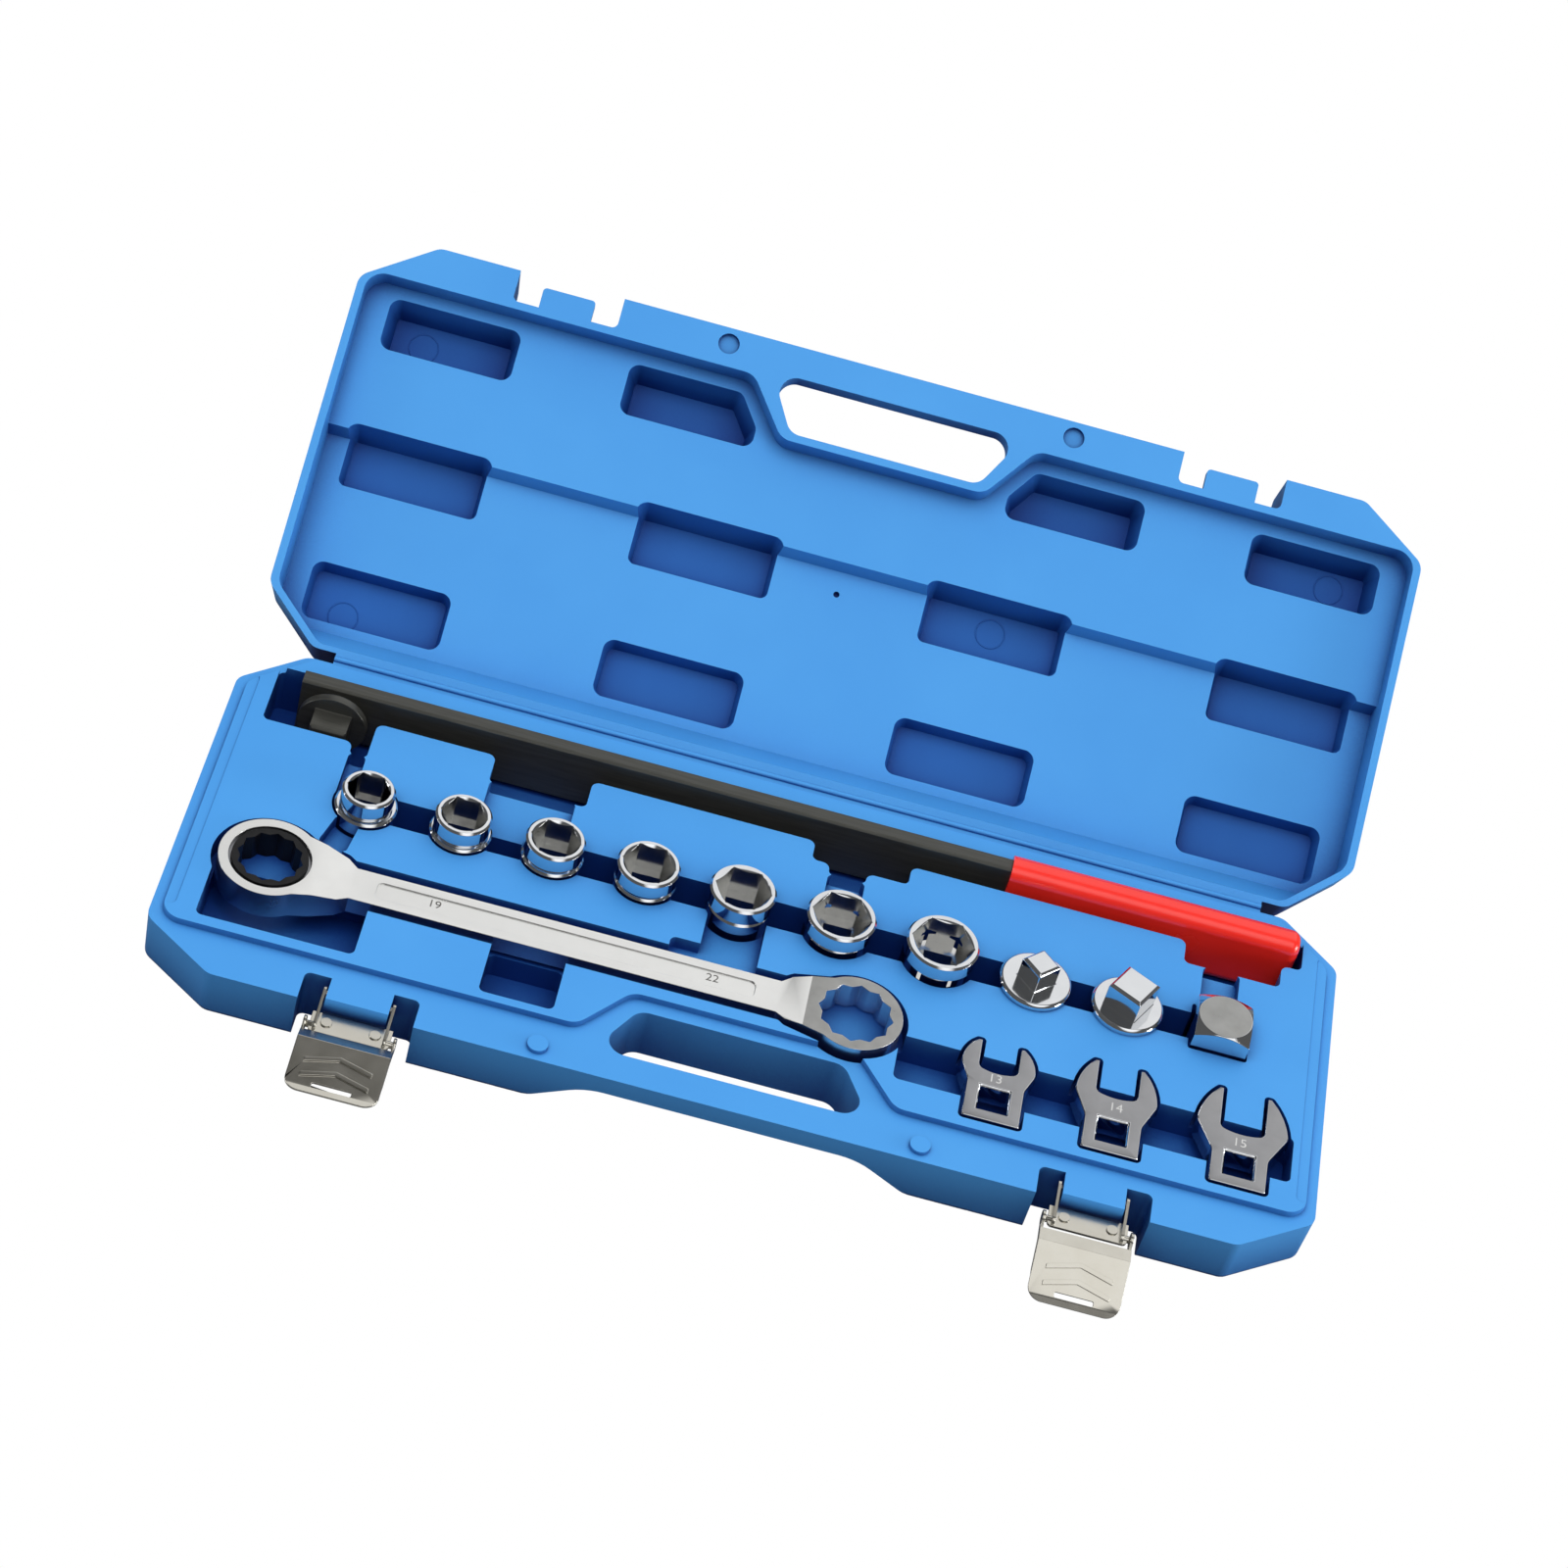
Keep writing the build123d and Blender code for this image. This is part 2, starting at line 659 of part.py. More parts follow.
def latch_lever(side, droop):
    """Finger lever on the link's pegs: bent plate, side flanges, chevrons and a slot."""
    x = side * latch_x
    pivot_v = latch_pivot_v + lever_pivot_t
    pivot_z = tray_height - latch_pivot_drop - link_offset
    tip = lever_length
    inner = [(lever_base, lever_base_rise), (lever_bend, lever_rise), (tip - lever_curl_length, lever_rise),
             (tip, lever_rise + lever_curl)]
    outer = [(u, w + sheet) for u, w in reversed(inner)]
    lever = across(make_face(Polyline(*inner, *outer, close=True)), x, pivot_v, pivot_z, 2 * lever_half)
    lever = fillet(lever.edges().filter_by(Axis.Z).group_by(Axis.Y)[0], lever_tip_radius)
    under = lever_rise - flange_depth
    flange = [(lever_base, lever_base_rise), (lever_bend, lever_rise),
              (tip - 3 * lever_curl_length, lever_rise), (tip - 4 * lever_curl_length, under),
              (lever_bend, under - sheet), (0, -ear_radius), (0, ear_radius)]
    ear = make_face(Polyline(*flange, close=True)) + Circle(ear_radius)
    ear -= Circle(peg_radius + peg_clearance)
    for turn in (-1, 1):
        lever += across(ear, x + turn * (lever_half - sheet / 2), pivot_v, pivot_z, sheet)
    face_y = hinge_y - pivot_v
    face_z = pivot_z + lever_rise + sheet
    top = Plane(origin=(x, face_y, face_z), x_dir=(1, 0, 0), z_dir=(0, 0, 1))
    for u in chevron_places:
        ridge = [(-chevron_half, -u - chevron_drop), (0, -u), (chevron_half, -u - chevron_drop),
                 (chevron_half, -u - chevron_drop - chevron_width), (0, -u - chevron_width),
                 (-chevron_half, -u - chevron_drop - chevron_width)]
        lever += extrude(top * make_face(Polyline(*ridge, close=True)), chevron_height)
    slot = RectangleRounded(2 * lever_slot_half, lever_slot_width, lever_slot_width / 3)
    lever -= extrude(top * Pos(0, -lever_slot_u) * slot, -2 * sheet)
    return lever.rotate(Axis((x, face_y, pivot_z), (1, 0, 0)), droop)


def socket(size, x):
    """Hex socket: drive end below, grooved waist, mouth end up."""
    mouth = socket_top_radius(size)
    waist = min(mouth, drive_radius) - groove_depth
    neck = shoulder_height + groove_width
    profile = [(0, 0), (drive_radius, 0), (drive_radius, shoulder_height), (waist, shoulder_height),
               (waist, neck), (mouth, neck), (mouth, socket_height), (0, socket_height)]
    body = revolve(Plane.XZ * make_face(Polyline(*profile, close=True)), Axis.Z)
    body -= Pos(0, 0, socket_height - hex_depth) * extrude(hexagon(size), hex_depth)
    square = drive_square + 2 * drive_clearance
    body -= extrude(Rectangle(square, square), socket_height)
    return Pos(x, hinge_y - socket_row_v, socket_z) * body


def adapter(index):
    """Drive adapter: hex shank in the pocket, flange on the deck, square drive above."""
    size = adapter_squares[index]
    body = Pos(0, 0, -adapter_shank) * extrude(Rot(0, 0, 30) * hexagon(adapter_hex), adapter_shank)
    flange = Cylinder(adapter_disc_radius, adapter_disc_height, align=(Align.CENTER, Align.CENTER, Align.MIN))
    body += chamfer(flange.edges().group_by(Axis.Z)[-1], post_chamfer)
    post = extrude(Rot(0, 0, adapter_turns[index]) * Rectangle(size, size), adapter_post_heights[index])
    post = chamfer(post.edges().group_by(Axis.Z)[-1], post_chamfer)
    body += Pos(0, 0, adapter_disc_height) * post
    return Pos(adapter_places[index], hinge_y - socket_row_v, deck_z) * body


def coupler():
    """Square coupler with a turned crown and a drive hole from below."""
    body = extrude(Rectangle(coupler_square, coupler_square), socket_height)
    rise = math.tan(math.radians(coupler_chamfer_angle))
    corner = coupler_square
    profile = [(0, 0), (corner, 0), (corner, socket_height - (corner - coupler_top_radius) * rise),
               (coupler_top_radius, socket_height), (0, socket_height)]
    body &= revolve(Plane.XZ * make_face(Polyline(*profile, close=True)), Axis.Z)
    hole = drive_square + 2 * drive_clearance
    body -= extrude(Rectangle(hole, hole), coupler_bore_depth)
    return Pos(coupler_x, hinge_y - socket_row_v, socket_z) * body


def spanner():
    """Forged spanner body: ratchet head, tapered necks, panelled handle and plain ring."""
    half = ratchet_thickness / 2
    plan = down(spanner_plan(0), spanner_z + half, spanner_z - half)
    bar = handle_bar_thickness / 2
    ring = ring_thickness / 2
    near = ratchet_x + neck_ratchet_reach
    far = ring_x - neck_ring_reach
    upper = [(ratchet_x - reach, half), (near - ratchet_neck_back, half), (near + neck_end, bar),
             (far - neck_end, bar), (far + ring_neck_back, ring), (ring_x + reach, ring)]
    lower = [(x, -z) for x, z in reversed(upper)]
    side = Plane(origin=(0, hinge_y, spanner_z), x_dir=(1, 0, 0), z_dir=(0, -1, 0))
    body = plan & extrude(side * make_face(Polyline(*upper, *lower, close=True)), 2 * case_depth)
    panel_x0 = near + neck_end + panel_margin
    panel_x1 = far - neck_end - panel_margin
    panel = box_sketch(panel_x0, panel_x1, spanner_v - panel_width / 2, spanner_v + panel_width / 2,
                       panel_end_radius)
    body -= down(panel, spanner_z + bar, spanner_z + bar - panel_depth)
    body -= down(panel, spanner_z - bar + panel_depth, spanner_z - bar)
    body -= down(Pos(ring_x, spanner_v) * twelve_point(ring_size), deck_z + reach, -reach)
    head = Pos(ratchet_x, spanner_v)
    floor = spanner_z - half + gear_lip
    gear_top = floor + gear_axial + gear_height
    body -= down(head * Circle(gear_collar_radius + gear_clearance), deck_z + reach, -reach)
    body -= down(head * Circle(gear_tip_radius + gear_clearance), deck_z + reach, floor)
    groove = head * Circle(clip_outer_radius + gear_clearance)
    body -= down(groove, gear_top + 2 * gear_axial + clip_thickness, gear_top + gear_axial)
    pawl_x1 = ratchet_x + pawl_start() + pawl_length + spring_room + pawl_clearance
    room = box_sketch(ratchet_x, pawl_x1, spanner_v - pawl_width / 2 - pawl_clearance,
                      spanner_v + pawl_width / 2 + pawl_clearance, pawl_room_radius)
    room_half = pawl_height / 2 + pawl_clearance
    body -= down(room, spanner_z + room_half, spanner_z - room_half)
    return body


def pawl_start():
    """Distance from the gear's axis to the tips of the drawn-back pawl's teeth."""
    return gear_root_radius + pawl_draw + 2 * pawl_clearance


def gear_plan(grow):
    """Fine saw-toothed ring, point by point from its tooth count."""
    step = 2 * math.pi / gear_teeth
    points = []
    for tooth in range(gear_teeth):
        for share, radius in ((-0.5, gear_root_radius), (0.0, gear_tip_radius)):
            angle = (tooth + share) * step
            points.append(((radius + grow) * math.cos(angle), (radius + grow) * math.sin(angle)))
    return make_face(Polyline(*points, close=True))


def ratchet_gear():
    """Toothed gear insert with a twelve-point opening and plain collars."""
    floor = spanner_z - ratchet_thickness / 2
    top = spanner_z + ratchet_thickness / 2
    tooth_z = floor + gear_lip + gear_axial
    gear = Pos(0, 0, tooth_z) * extrude(gear_plan(0), gear_height)
    gear += Pos(0, 0, floor) * extrude(Circle(gear_collar_radius), top - floor)
    gear -= Pos(0, 0, floor) * extrude(twelve_point(ratchet_size), ratchet_thickness)
    return Pos(ratchet_x, hinge_y - spanner_v, 0) * gear


def retaining_clip():
    """Split spring clip that keeps the gear in the head."""
    tooth_top = spanner_z - ratchet_thickness / 2 + gear_lip + gear_axial + gear_height
    ring = Circle(clip_outer_radius) - Circle(gear_collar_radius + gear_clearance)
    reach_x = clip_outer_radius * math.tan(math.radians(clip_gap_angle / 2))
    wedge = [(0, 0), (2 * reach_x, 2 * clip_outer_radius), (-2 * reach_x, 2 * clip_outer_radius)]
    gap = make_face(Polyline(*wedge, close=True))
    clip = extrude(Rot(0, 0, 180) * (ring - gap), clip_thickness)
    return Pos(ratchet_x, hinge_y - spanner_v, tooth_top + gear_axial) * clip


def pawl():
    """Toothed pawl block, drawn back until its teeth clear the gear."""
    start = pawl_start() - pawl_draw
    block = Pos(start + pawl_length / 2 - 1, 0) * Rectangle(pawl_length + 2, pawl_width)
    block &= Pos(start + pawl_length - reach / 2, 0) * Rectangle(reach, reach)
    face = block - gear_plan(2 * pawl_clearance)
    body = extrude(face, pawl_height)
    return Pos(ratchet_x + pawl_draw, hinge_y - spanner_v, spanner_z - pawl_height / 2) * body


def pawl_spring():
    """Leaf spring behind the pawl."""
    x = ratchet_x + pawl_start() + pawl_length + pawl_clearance
    return Pos(x, hinge_y - spanner_v, spanner_z - spring_width / 2) * extrude(spring_leaf(), spring_width)


def crowfoot(index):
    """Open-jaw crow-foot spanner with bevelled edges and a drive square."""
    hole = drive_square + 2 * drive_clearance
    body = extrude(crowfoot_outline(index), crowfoot_thickness)
    body = chamfer(body.edges().group_by(Axis.Z)[-1], crowfoot_chamfer)
    body -= extrude(Rectangle(hole, hole), crowfoot_thickness)
    frame = Pos(0, 0, crowfoot_thickness) * Rectangle(hole + 2 * crowfoot_frame, hole + 2 * crowfoot_frame)
    body -= extrude(frame, -crowfoot_frame, taper=45)
    return Pos(crowfoot_places[index], hinge_y - crowfoot_v, crowfoot_z) * body


def long_bar():
    """Flat tensioner bar standing on edge."""
    length = bar_right - bar_left
    place = Pos((bar_left + bar_right) / 2, hinge_y - bar_v, bar_mid_z)
    bar = Box(length, bar_thickness, bar_height)
    bar = chamfer(bar.edges().filter_by(Axis.X), bar_chamfer)
    hole = Pos(drive_x - (bar_left + bar_right) / 2, 0, 0) * Rot(90, 0, 0)
    return place * (bar - hole * Cylinder(drive_shank_radius + drive_shank_clearance, 2 * bar_thickness))


def bar_drive():
    """Drive stud riveted through the bar: shank, hex shoulder, flange and square."""
    face_v = bar_v + bar_thickness / 2
    front = Plane(origin=(drive_x, hinge_y - face_v, bar_mid_z), x_dir=(1, 0, 0), z_dir=(0, -1, 0))
    stud = extrude(front * Circle(drive_shank_radius), -bar_thickness)
    stud += extrude(front * hexagon(drive_shoulder_hex), drive_shoulder_length)
    flange = front.offset(drive_shoulder_length)
    stud += extrude(flange * Circle(drive_flange_radius), drive_flange_length)
    post = extrude(flange.offset(drive_flange_length) * Rectangle(drive_stud_square, drive_stud_square),
                   drive_stud_length)
    return stud + chamfer(post.edges().group_by(Axis.Y)[0], post_chamfer)


def bar_grip():
    """Dipped grip round the end of the bar."""
    height = bar_height + 2 * grip_skin
    start = Plane(origin=(grip_left, hinge_y - bar_v, bar_mid_z), x_dir=(0, 1, 0), z_dir=(1, 0, 0))
    grip = extrude(start * RectangleRounded(grip_thickness, height, grip_radius), grip_length)
    grip = fillet(grip.edges().group_by(Axis.X)[-1], grip_end_radius)
    return grip - long_bar()


def build():
    """Every node of the set, by name."""
    nodes = {
        "tray_shell": tray(),
        "lid_shell": lid(),
        "hinge_web": hinge_web(),
        "latch_link_left": latch_link(-1),
        "latch_link_right": latch_link(1),
        "latch_lever_left": latch_lever(-1, lever_droop_left),
        "latch_lever_right": latch_lever(1, lever_droop_right),
        "adapter_small": adapter(0),
        "adapter_large": adapter(1),
        "square_coupler": coupler(),
        "spanner_body": spanner(),
        "ratchet_gear": ratchet_gear(),
        "retaining_clip": retaining_clip(),
        "ratchet_pawl": pawl(),
        "pawl_spring": pawl_spring(),
        "tensioner_bar": long_bar(),
        "bar_drive_stud": bar_drive(),
        "bar_grip": bar_grip(),
    }
    for size, x in zip(socket_sizes, socket_places):
        nodes[f"socket_{size}"] = socket(size, x)
    for index, size in enumerate(crowfoot_sizes):
        nodes[f"crowfoot_{size}"] = crowfoot(index)
    return nodes


os.makedirs("parts", exist_ok=True)
for name, shape in build().items():
    export_step(shape, f"parts/{name}.step")
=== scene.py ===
import json
import logging
import math
from dataclasses import dataclass, field
from enum import Enum

import bpy
from mathutils import Matrix, Vector

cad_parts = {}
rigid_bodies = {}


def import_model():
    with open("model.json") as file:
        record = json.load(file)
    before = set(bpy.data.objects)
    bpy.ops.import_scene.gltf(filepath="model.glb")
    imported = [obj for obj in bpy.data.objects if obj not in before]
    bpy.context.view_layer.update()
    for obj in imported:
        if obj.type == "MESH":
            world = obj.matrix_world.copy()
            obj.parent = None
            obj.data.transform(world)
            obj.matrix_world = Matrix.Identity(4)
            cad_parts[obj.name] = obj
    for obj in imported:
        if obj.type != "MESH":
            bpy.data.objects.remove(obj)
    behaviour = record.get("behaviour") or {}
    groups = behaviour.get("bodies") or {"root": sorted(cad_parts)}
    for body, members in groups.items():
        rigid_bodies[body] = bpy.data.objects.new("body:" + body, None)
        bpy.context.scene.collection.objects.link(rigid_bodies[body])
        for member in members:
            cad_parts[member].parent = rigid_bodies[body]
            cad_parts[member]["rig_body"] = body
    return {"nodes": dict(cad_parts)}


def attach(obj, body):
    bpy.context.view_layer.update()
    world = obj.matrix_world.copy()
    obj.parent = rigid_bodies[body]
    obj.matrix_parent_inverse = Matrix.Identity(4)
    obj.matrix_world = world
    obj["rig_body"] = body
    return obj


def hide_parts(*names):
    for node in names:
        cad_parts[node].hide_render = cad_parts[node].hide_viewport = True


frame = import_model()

log = logging.getLogger("tool_case")
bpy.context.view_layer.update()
PHOTO_PIXELS = 1600
WHITE = (1.0, 1.0, 1.0, 1.0)

# Metres in a millimetre
MM = 0.001
# Points this close together are one point, and an edge that strays no further sideways is upright
WELD_MM = 0.002
STRAY_MM = 0.02
# Faces that turn by less than these are one flat, or shade as one
FLAT_DEGREES = 0.5
SMOOTH_DEGREES = 40.0
# Faces that turn by more than this make a square corner
CORNER_DEGREES = 80.0
# Share of a vertex's shading that its largest face takes, from 1 to 100
LARGEST_FACE_WEIGHT = 100


class Axis(Enum):
    """Ways a metal surface was ground or brushed, as the pattern's squeeze along x, y and z."""

    ALONG = (1.0, 14.0, 14.0)
    NONE = (1.0, 1.0, 1.0)


def linear(hex_colour: str) -> tuple[float, float, float, float]:
    """Turn an sRGB hex colour into linear values.

    Args:
        hex_colour: six hex digits, with or without a leading hash.

    Returns:
        Red, green, blue and alpha in linear light.
    """
    digits = hex_colour.lstrip("#")
    values = []
    for start in (0, 2, 4):
        share = int(digits[start:start + 2], 16) / 255
        values.append(share / 12.92 if share <= 0.04045 else ((share + 0.055) / 1.055) ** 2.4)
    return (values[0], values[1], values[2], 1.0)


def add_node(tree: bpy.types.NodeTree, kind: str, values: dict[str, object] | None = None,
             **settings: object) -> bpy.types.Node:
    """Add a shader node with its settings and socket values.

    Args:
        tree: node tree of the material or world.
        kind: Blender's name of the node type.
        values: input sockets to set, by name.
        settings: node properties to set.

    Returns:
        The new node.
    """
    node = tree.nodes.new(kind)
    for name, value in settings.items():
        setattr(node, name, value)
    for name, value in (values or {}).items():
        node.inputs[name].default_value = value
    return node


@dataclass(frozen=True)
class Finish:
    """Surface finish of one material, with pattern sizes in millimetres."""

    name: str
    colour: str
    second_colour: str
    roughness: float
    roughness_spread: float
    metallic: float
    grain_mm: float
    grain_depth_mm: float
    cloud_mm: float
    cloud_share: float = 0.5
    grain_axis: Axis = Axis.NONE
    coat: float = 0.0
    specular: float = 0.5
    # Painted shade: a darker colour blended into recesses by ambient occlusion, with its reach, its span
    # of occlusion values and its samples
    recess_colour: str = ""
    recess_mm: float = 30.0
    recess_span: tuple[float, float] = (0.33, 0.87)
    recess_samples: int = 6
    cloud_octaves: float = 3.0
    grain_octaves: float = 2.0
    relief_strength: float = 0.6

    def material(self) -> bpy.types.Material:
        """Build the node material of this finish.

        Returns:
            The new material.
        """
        made = bpy.data.materials.new(self.name)
        made.use_nodes = True
        tree = made.node_tree
        tree.nodes.clear()
        out = add_node(tree, "ShaderNodeOutputMaterial")
        shader = add_node(tree, "ShaderNodeBsdfPrincipled", {
            "Metallic": self.metallic, "Coat Weight": self.coat, "Specular IOR Level": self.specular,
        })
        place = add_node(tree, "ShaderNodeTexCoord")
        clouds = self._noise(tree, place, self.cloud_mm, self.cloud_octaves)
        tones = add_node(tree, "ShaderNodeValToRGB")
        tones.color_ramp.elements[0].position = 0.5 - self.cloud_share / 2
        tones.color_ramp.elements[1].position = 0.5 + self.cloud_share / 2
        tones.color_ramp.elements[0].color = linear(self.second_colour)
        tones.color_ramp.elements[1].color = linear(self.colour)
        grain = self._noise(tree, place, self.grain_mm, self.grain_octaves)
        span = add_node(tree, "ShaderNodeMapRange", {
            "To Min": self.roughness - self.roughness_spread,
            "To Max": self.roughness + self.roughness_spread,
        })
        relief = add_node(tree, "ShaderNodeBump", {
            "Strength": self.relief_strength, "Distance": self.grain_depth_mm * MM,
        })
        link = tree.links.new
        link(clouds.outputs["Fac"], tones.inputs["Fac"])
        link(self._deepened(tree, tones.outputs["Color"]), shader.inputs["Base Color"])
        link(clouds.outputs["Fac"], span.inputs["Value"])
        link(span.outputs["Result"], shader.inputs["Roughness"])
        link(grain.outputs["Fac"], relief.inputs["Height"])
        link(relief.outputs["Normal"], shader.inputs["Normal"])
        link(shader.outputs["BSDF"], out.inputs["Surface"])
        return made

    def _deepened(self, tree: bpy.types.NodeTree, colour: bpy.types.NodeSocket) -> bpy.types.NodeSocket:
        """Paint shade into a colour in recesses, where the finish has a shade colour for them.

        Args:
            tree: node tree of the material.
            colour: output that carries the open surface's colour.

        Returns:
            The output to use as base colour.
        """
        if not self.recess_colour:
            return colour
        # Painted shade: ambient occlusion blends the shade colour in where the surface is closed in
        deep, bare = self.recess_span
        shade_occlusion = add_node(
            tree, "ShaderNodeAmbientOcclusion", {"Distance": self.recess_mm * MM},
            samples=self.recess_samples)
        share = add_node(tree, "ShaderNodeMapRange", {"From Min": deep, "From Max": bare})
        shade_blend = add_node(tree, "ShaderNodeMix", data_type="RGBA")
        shade_blend.inputs["A"].default_value = linear(self.recess_colour)
        tree.links.new(shade_occlusion.outputs["AO"], share.inputs["Value"])
        tree.links.new(share.outputs["Result"], shade_blend.inputs["Factor"])
        tree.links.new(colour, shade_blend.inputs["B"])
        return shade_blend.outputs["Result"]

    def _noise(self, tree: bpy.types.NodeTree, place: bpy.types.Node, size_mm: float,
               detail: float) -> bpy.types.Node:
        """Add a noise pattern of a given size in object space.

        Args:
            tree: node tree of the material.
            place: texture coordinate node.
            size_mm: size of one patch of the pattern.
            detail: octaves of the noise.

        Returns:
            The noise node.
        """
        stretch = add_node(tree, "ShaderNodeMapping", {"Scale": self.grain_axis.value})
        noise = add_node(tree, "ShaderNodeTexNoise", {"Scale": 1 / (size_mm * MM), "Detail": detail})
        tree.links.new(place.outputs["Object"], stretch.inputs["Vector"])
        tree.links.new(stretch.outputs["Vector"], noise.inputs["Vector"])
        return noise


class Look(Enum):
    """Finishes of the set, by the surface that they dress."""

    # Blow-moulded polypropylene, satin with a fine grain, with shade painted into its pockets and corners
    CASE = Finish("blue_polypropylene", "#4C9DE4", "#4596DF", 0.5, 0.05, 0.0, 0.5, 0.012, 60.0,
                  specular=0.25, recess_colour="#0E3078")
    # The same plastic with a deeper tone painted on the lid's pockets as shade, and more painted shade in
    # their corners
    PRESSED = Finish("pocket_shade_polypropylene", "#2A66B4", "#255FAA", 0.5, 0.05, 0.0, 0.5, 0.012, 60.0,
                     specular=0.15, recess_colour="#0B2A70", recess_mm=16.0)
    # Nickel plate over stamped spring steel
    LATCH = Finish("nickel_plate", "#D4D1C7", "#C6C2B7", 0.22, 0.05, 1.0, 0.6, 0.004, 9.0)
    # Mirror chrome plate of sockets and adapters
    CHROME = Finish("mirror_chrome", "#E0E2E4", "#D6D8DB", 0.1, 0.02, 1.0, 0.8, 0.002, 12.0)
    # Thin chrome inside the sockets, duller than outside
    BORE = Finish("socket_bore", "#DADAD8", "#CECECC", 0.2, 0.04, 1.0, 0.5, 0.004, 5.0)
    # Satin chrome of the forged spanner
    SPANNER = Finish("satin_chrome", "#EDEDEB", "#E6E6E4", 0.26, 0.03, 1.0, 0.3, 0.002, 8.0)
    # Chrome that is greyer, cloudier and duller than the rest, laid on the upper flats at a tool's end
    GROUND = Finish("greyer_end_chrome", "#AFAFAD", "#999997", 0.3, 0.06, 1.0, 0.3, 0.003, 7.0)
    # Bead-blasted chrome of the crow-foot faces
    CROWFOOT = Finish("blasted_chrome", "#B4B4B6", "#A6A6A8", 0.42, 0.06, 1.0, 0.12, 0.008, 7.0)
    # Size numbers left bright by the stamping
    STAMP = Finish("stamped_number", "#E4E4E2", "#D9D9D7", 0.45, 0.05, 0.6, 0.2, 0.003, 3.0)
    # Size numbers sunk into the spanner's handle
    ENGRAVED = Finish("engraved_number", "#84837F", "#7A7975", 0.5, 0.05, 0.8, 0.2, 0.003, 3.0)
    # Black oxide of hardened steel
    GEAR = Finish("black_oxide_gear", "#2A2A2B", "#1E1E1F", 0.34, 0.06, 0.7, 0.15, 0.006, 5.0)
    # Oiled black oxide of the long bar
    BAR = Finish("black_oxide_bar", "#565651", "#474743", 0.36, 0.08, 0.6, 0.2, 0.006, 14.0,
                 grain_axis=Axis.ALONG)
    # Bare spring steel
    SPRING = Finish("spring_steel", "#8C8D90", "#7B7C80", 0.25, 0.05, 1.0, 0.2, 0.003, 4.0)
    # Dipped vinyl, glossy
    GRIP = Finish("dipped_vinyl", "#FA2E22", "#F0281D", 0.26, 0.05, 0.0, 1.2, 0.03, 20.0, coat=0.3)


SLOT_LOOKS = {
    "case": Look.CASE, "latch": Look.LATCH, "chrome": Look.CHROME, "spanner": Look.SPANNER,
    "gear": Look.GEAR, "spring_steel": Look.SPRING, "crowfoot": Look.CROWFOOT,
    "black_steel": Look.BAR, "grip": Look.GRIP,
}


class Wardrobe:
    """Makes each material once and hands it out."""

    def __init__(self) -> None:
        """Start with no material made."""
        self._made: dict[Look, bpy.types.Material] = {}

    def get(self, look: Look) -> bpy.types.Material:
        """Hand out the material of a look, making it at its first use.

        Args:
            look: finish that is asked for.

        Returns:
            Its one material.
        """
        if look not in self._made:
            self._made[look] = look.value.material()
        return self._made[look]


def select_only(thing: bpy.types.Object) -> None:
    """Make one object the only selected and active one.

    Args:
        thing: object to select.
    """
    bpy.ops.object.select_all(action="DESELECT")
    thing.select_set(True)
    bpy.context.view_layer.objects.active = thing


def soften(piece: bpy.types.Object, edge_mm: float, sharp_degrees: float, segments: int = 3) -> None:
    """Round the sharp edges of a piece and let its flat faces shade flat.

    Args:
        piece: object to finish.
        edge_mm: width of the rounding, or zero for none.
        sharp_degrees: edges that turn by more than this are rounded.
        segments: strips across a rounded edge.
    """
    select_only(piece)
    if edge_mm > 0:
        rounding = piece.modifiers.new("edges", "BEVEL")
        rounding.width = edge_mm * MM
        rounding.segments = segments
        rounding.limit_method = "ANGLE"
        rounding.angle_limit = math.radians(sharp_degrees)
        rounding.use_clamp_overlap = True
        bpy.ops.object.modifier_apply(modifier="edges")
    bpy.ops.object.shade_smooth_by_angle(angle=math.radians(SMOOTH_DEGREES))
    normals = piece.modifiers.new("normals", "WEIGHTED_NORMAL")
    normals.weight = LARGEST_FACE_WEIGHT
    normals.keep_sharp = True
    bpy.ops.object.modifier_apply(modifier="normals")


def upright_corners(mesh: bpy.types.Mesh, least_mm: float) -> list[int]:
    """Find the upright outer corners of a moulding.

    Args:
        mesh: mesh of the moulding.
        least_mm: corners that stand taller than this are found.

    Returns:
        Numbers of the edges along these corners.
    """
    sides: dict[tuple[int, int], list[bpy.types.MeshPolygon]] = {}
    for face in mesh.polygons:
        for key in face.edge_keys:
            sides.setdefault(key, []).append(face)
    corners = []
    for edge in mesh.edges:
        run = mesh.vertices[edge.vertices[1]].co - mesh.vertices[edge.vertices[0]].co
        upright = abs(run.z) > least_mm * MM and run.xy.length < STRAY_MM * MM
        if upright and len(sides[edge.key]) == 2:
            first, second = sides[edge.key]
            outward = (second.center - first.center).dot(first.normal) < 0
            if outward and first.normal.angle(second.normal) > math.radians(CORNER_DEGREES):
                corners.append(edge.index)
    return corners


def round_corners(
        piece: bpy.types.Object, least_mm: float, radius_mm: float, segments: int = 6) -> None:
    """Round the upright outer corners of a moulding.

    Args:
        piece: object to change.
        least_mm: corners that stand taller than this are rounded.
        radius_mm: radius of the rounding.
        segments: strips across a rounded corner.
    """
    corners = upright_corners(piece.data, least_mm)
    select_only(piece)
    bpy.ops.object.mode_set(mode="EDIT")
    bpy.ops.mesh.select_mode(type="EDGE")
    bpy.ops.mesh.select_all(action="DESELECT")
    bpy.ops.object.mode_set(mode="OBJECT")
    for index in corners:
        piece.data.edges[index].select = True
    bpy.ops.object.mode_set(mode="EDIT")
    bpy.ops.mesh.bevel(offset=radius_mm * MM, segments=segments, affect="EDGES")
    bpy.ops.object.mode_set(mode="OBJECT")
    log.info("rounded %d corners of %s", len(corners), piece.name)


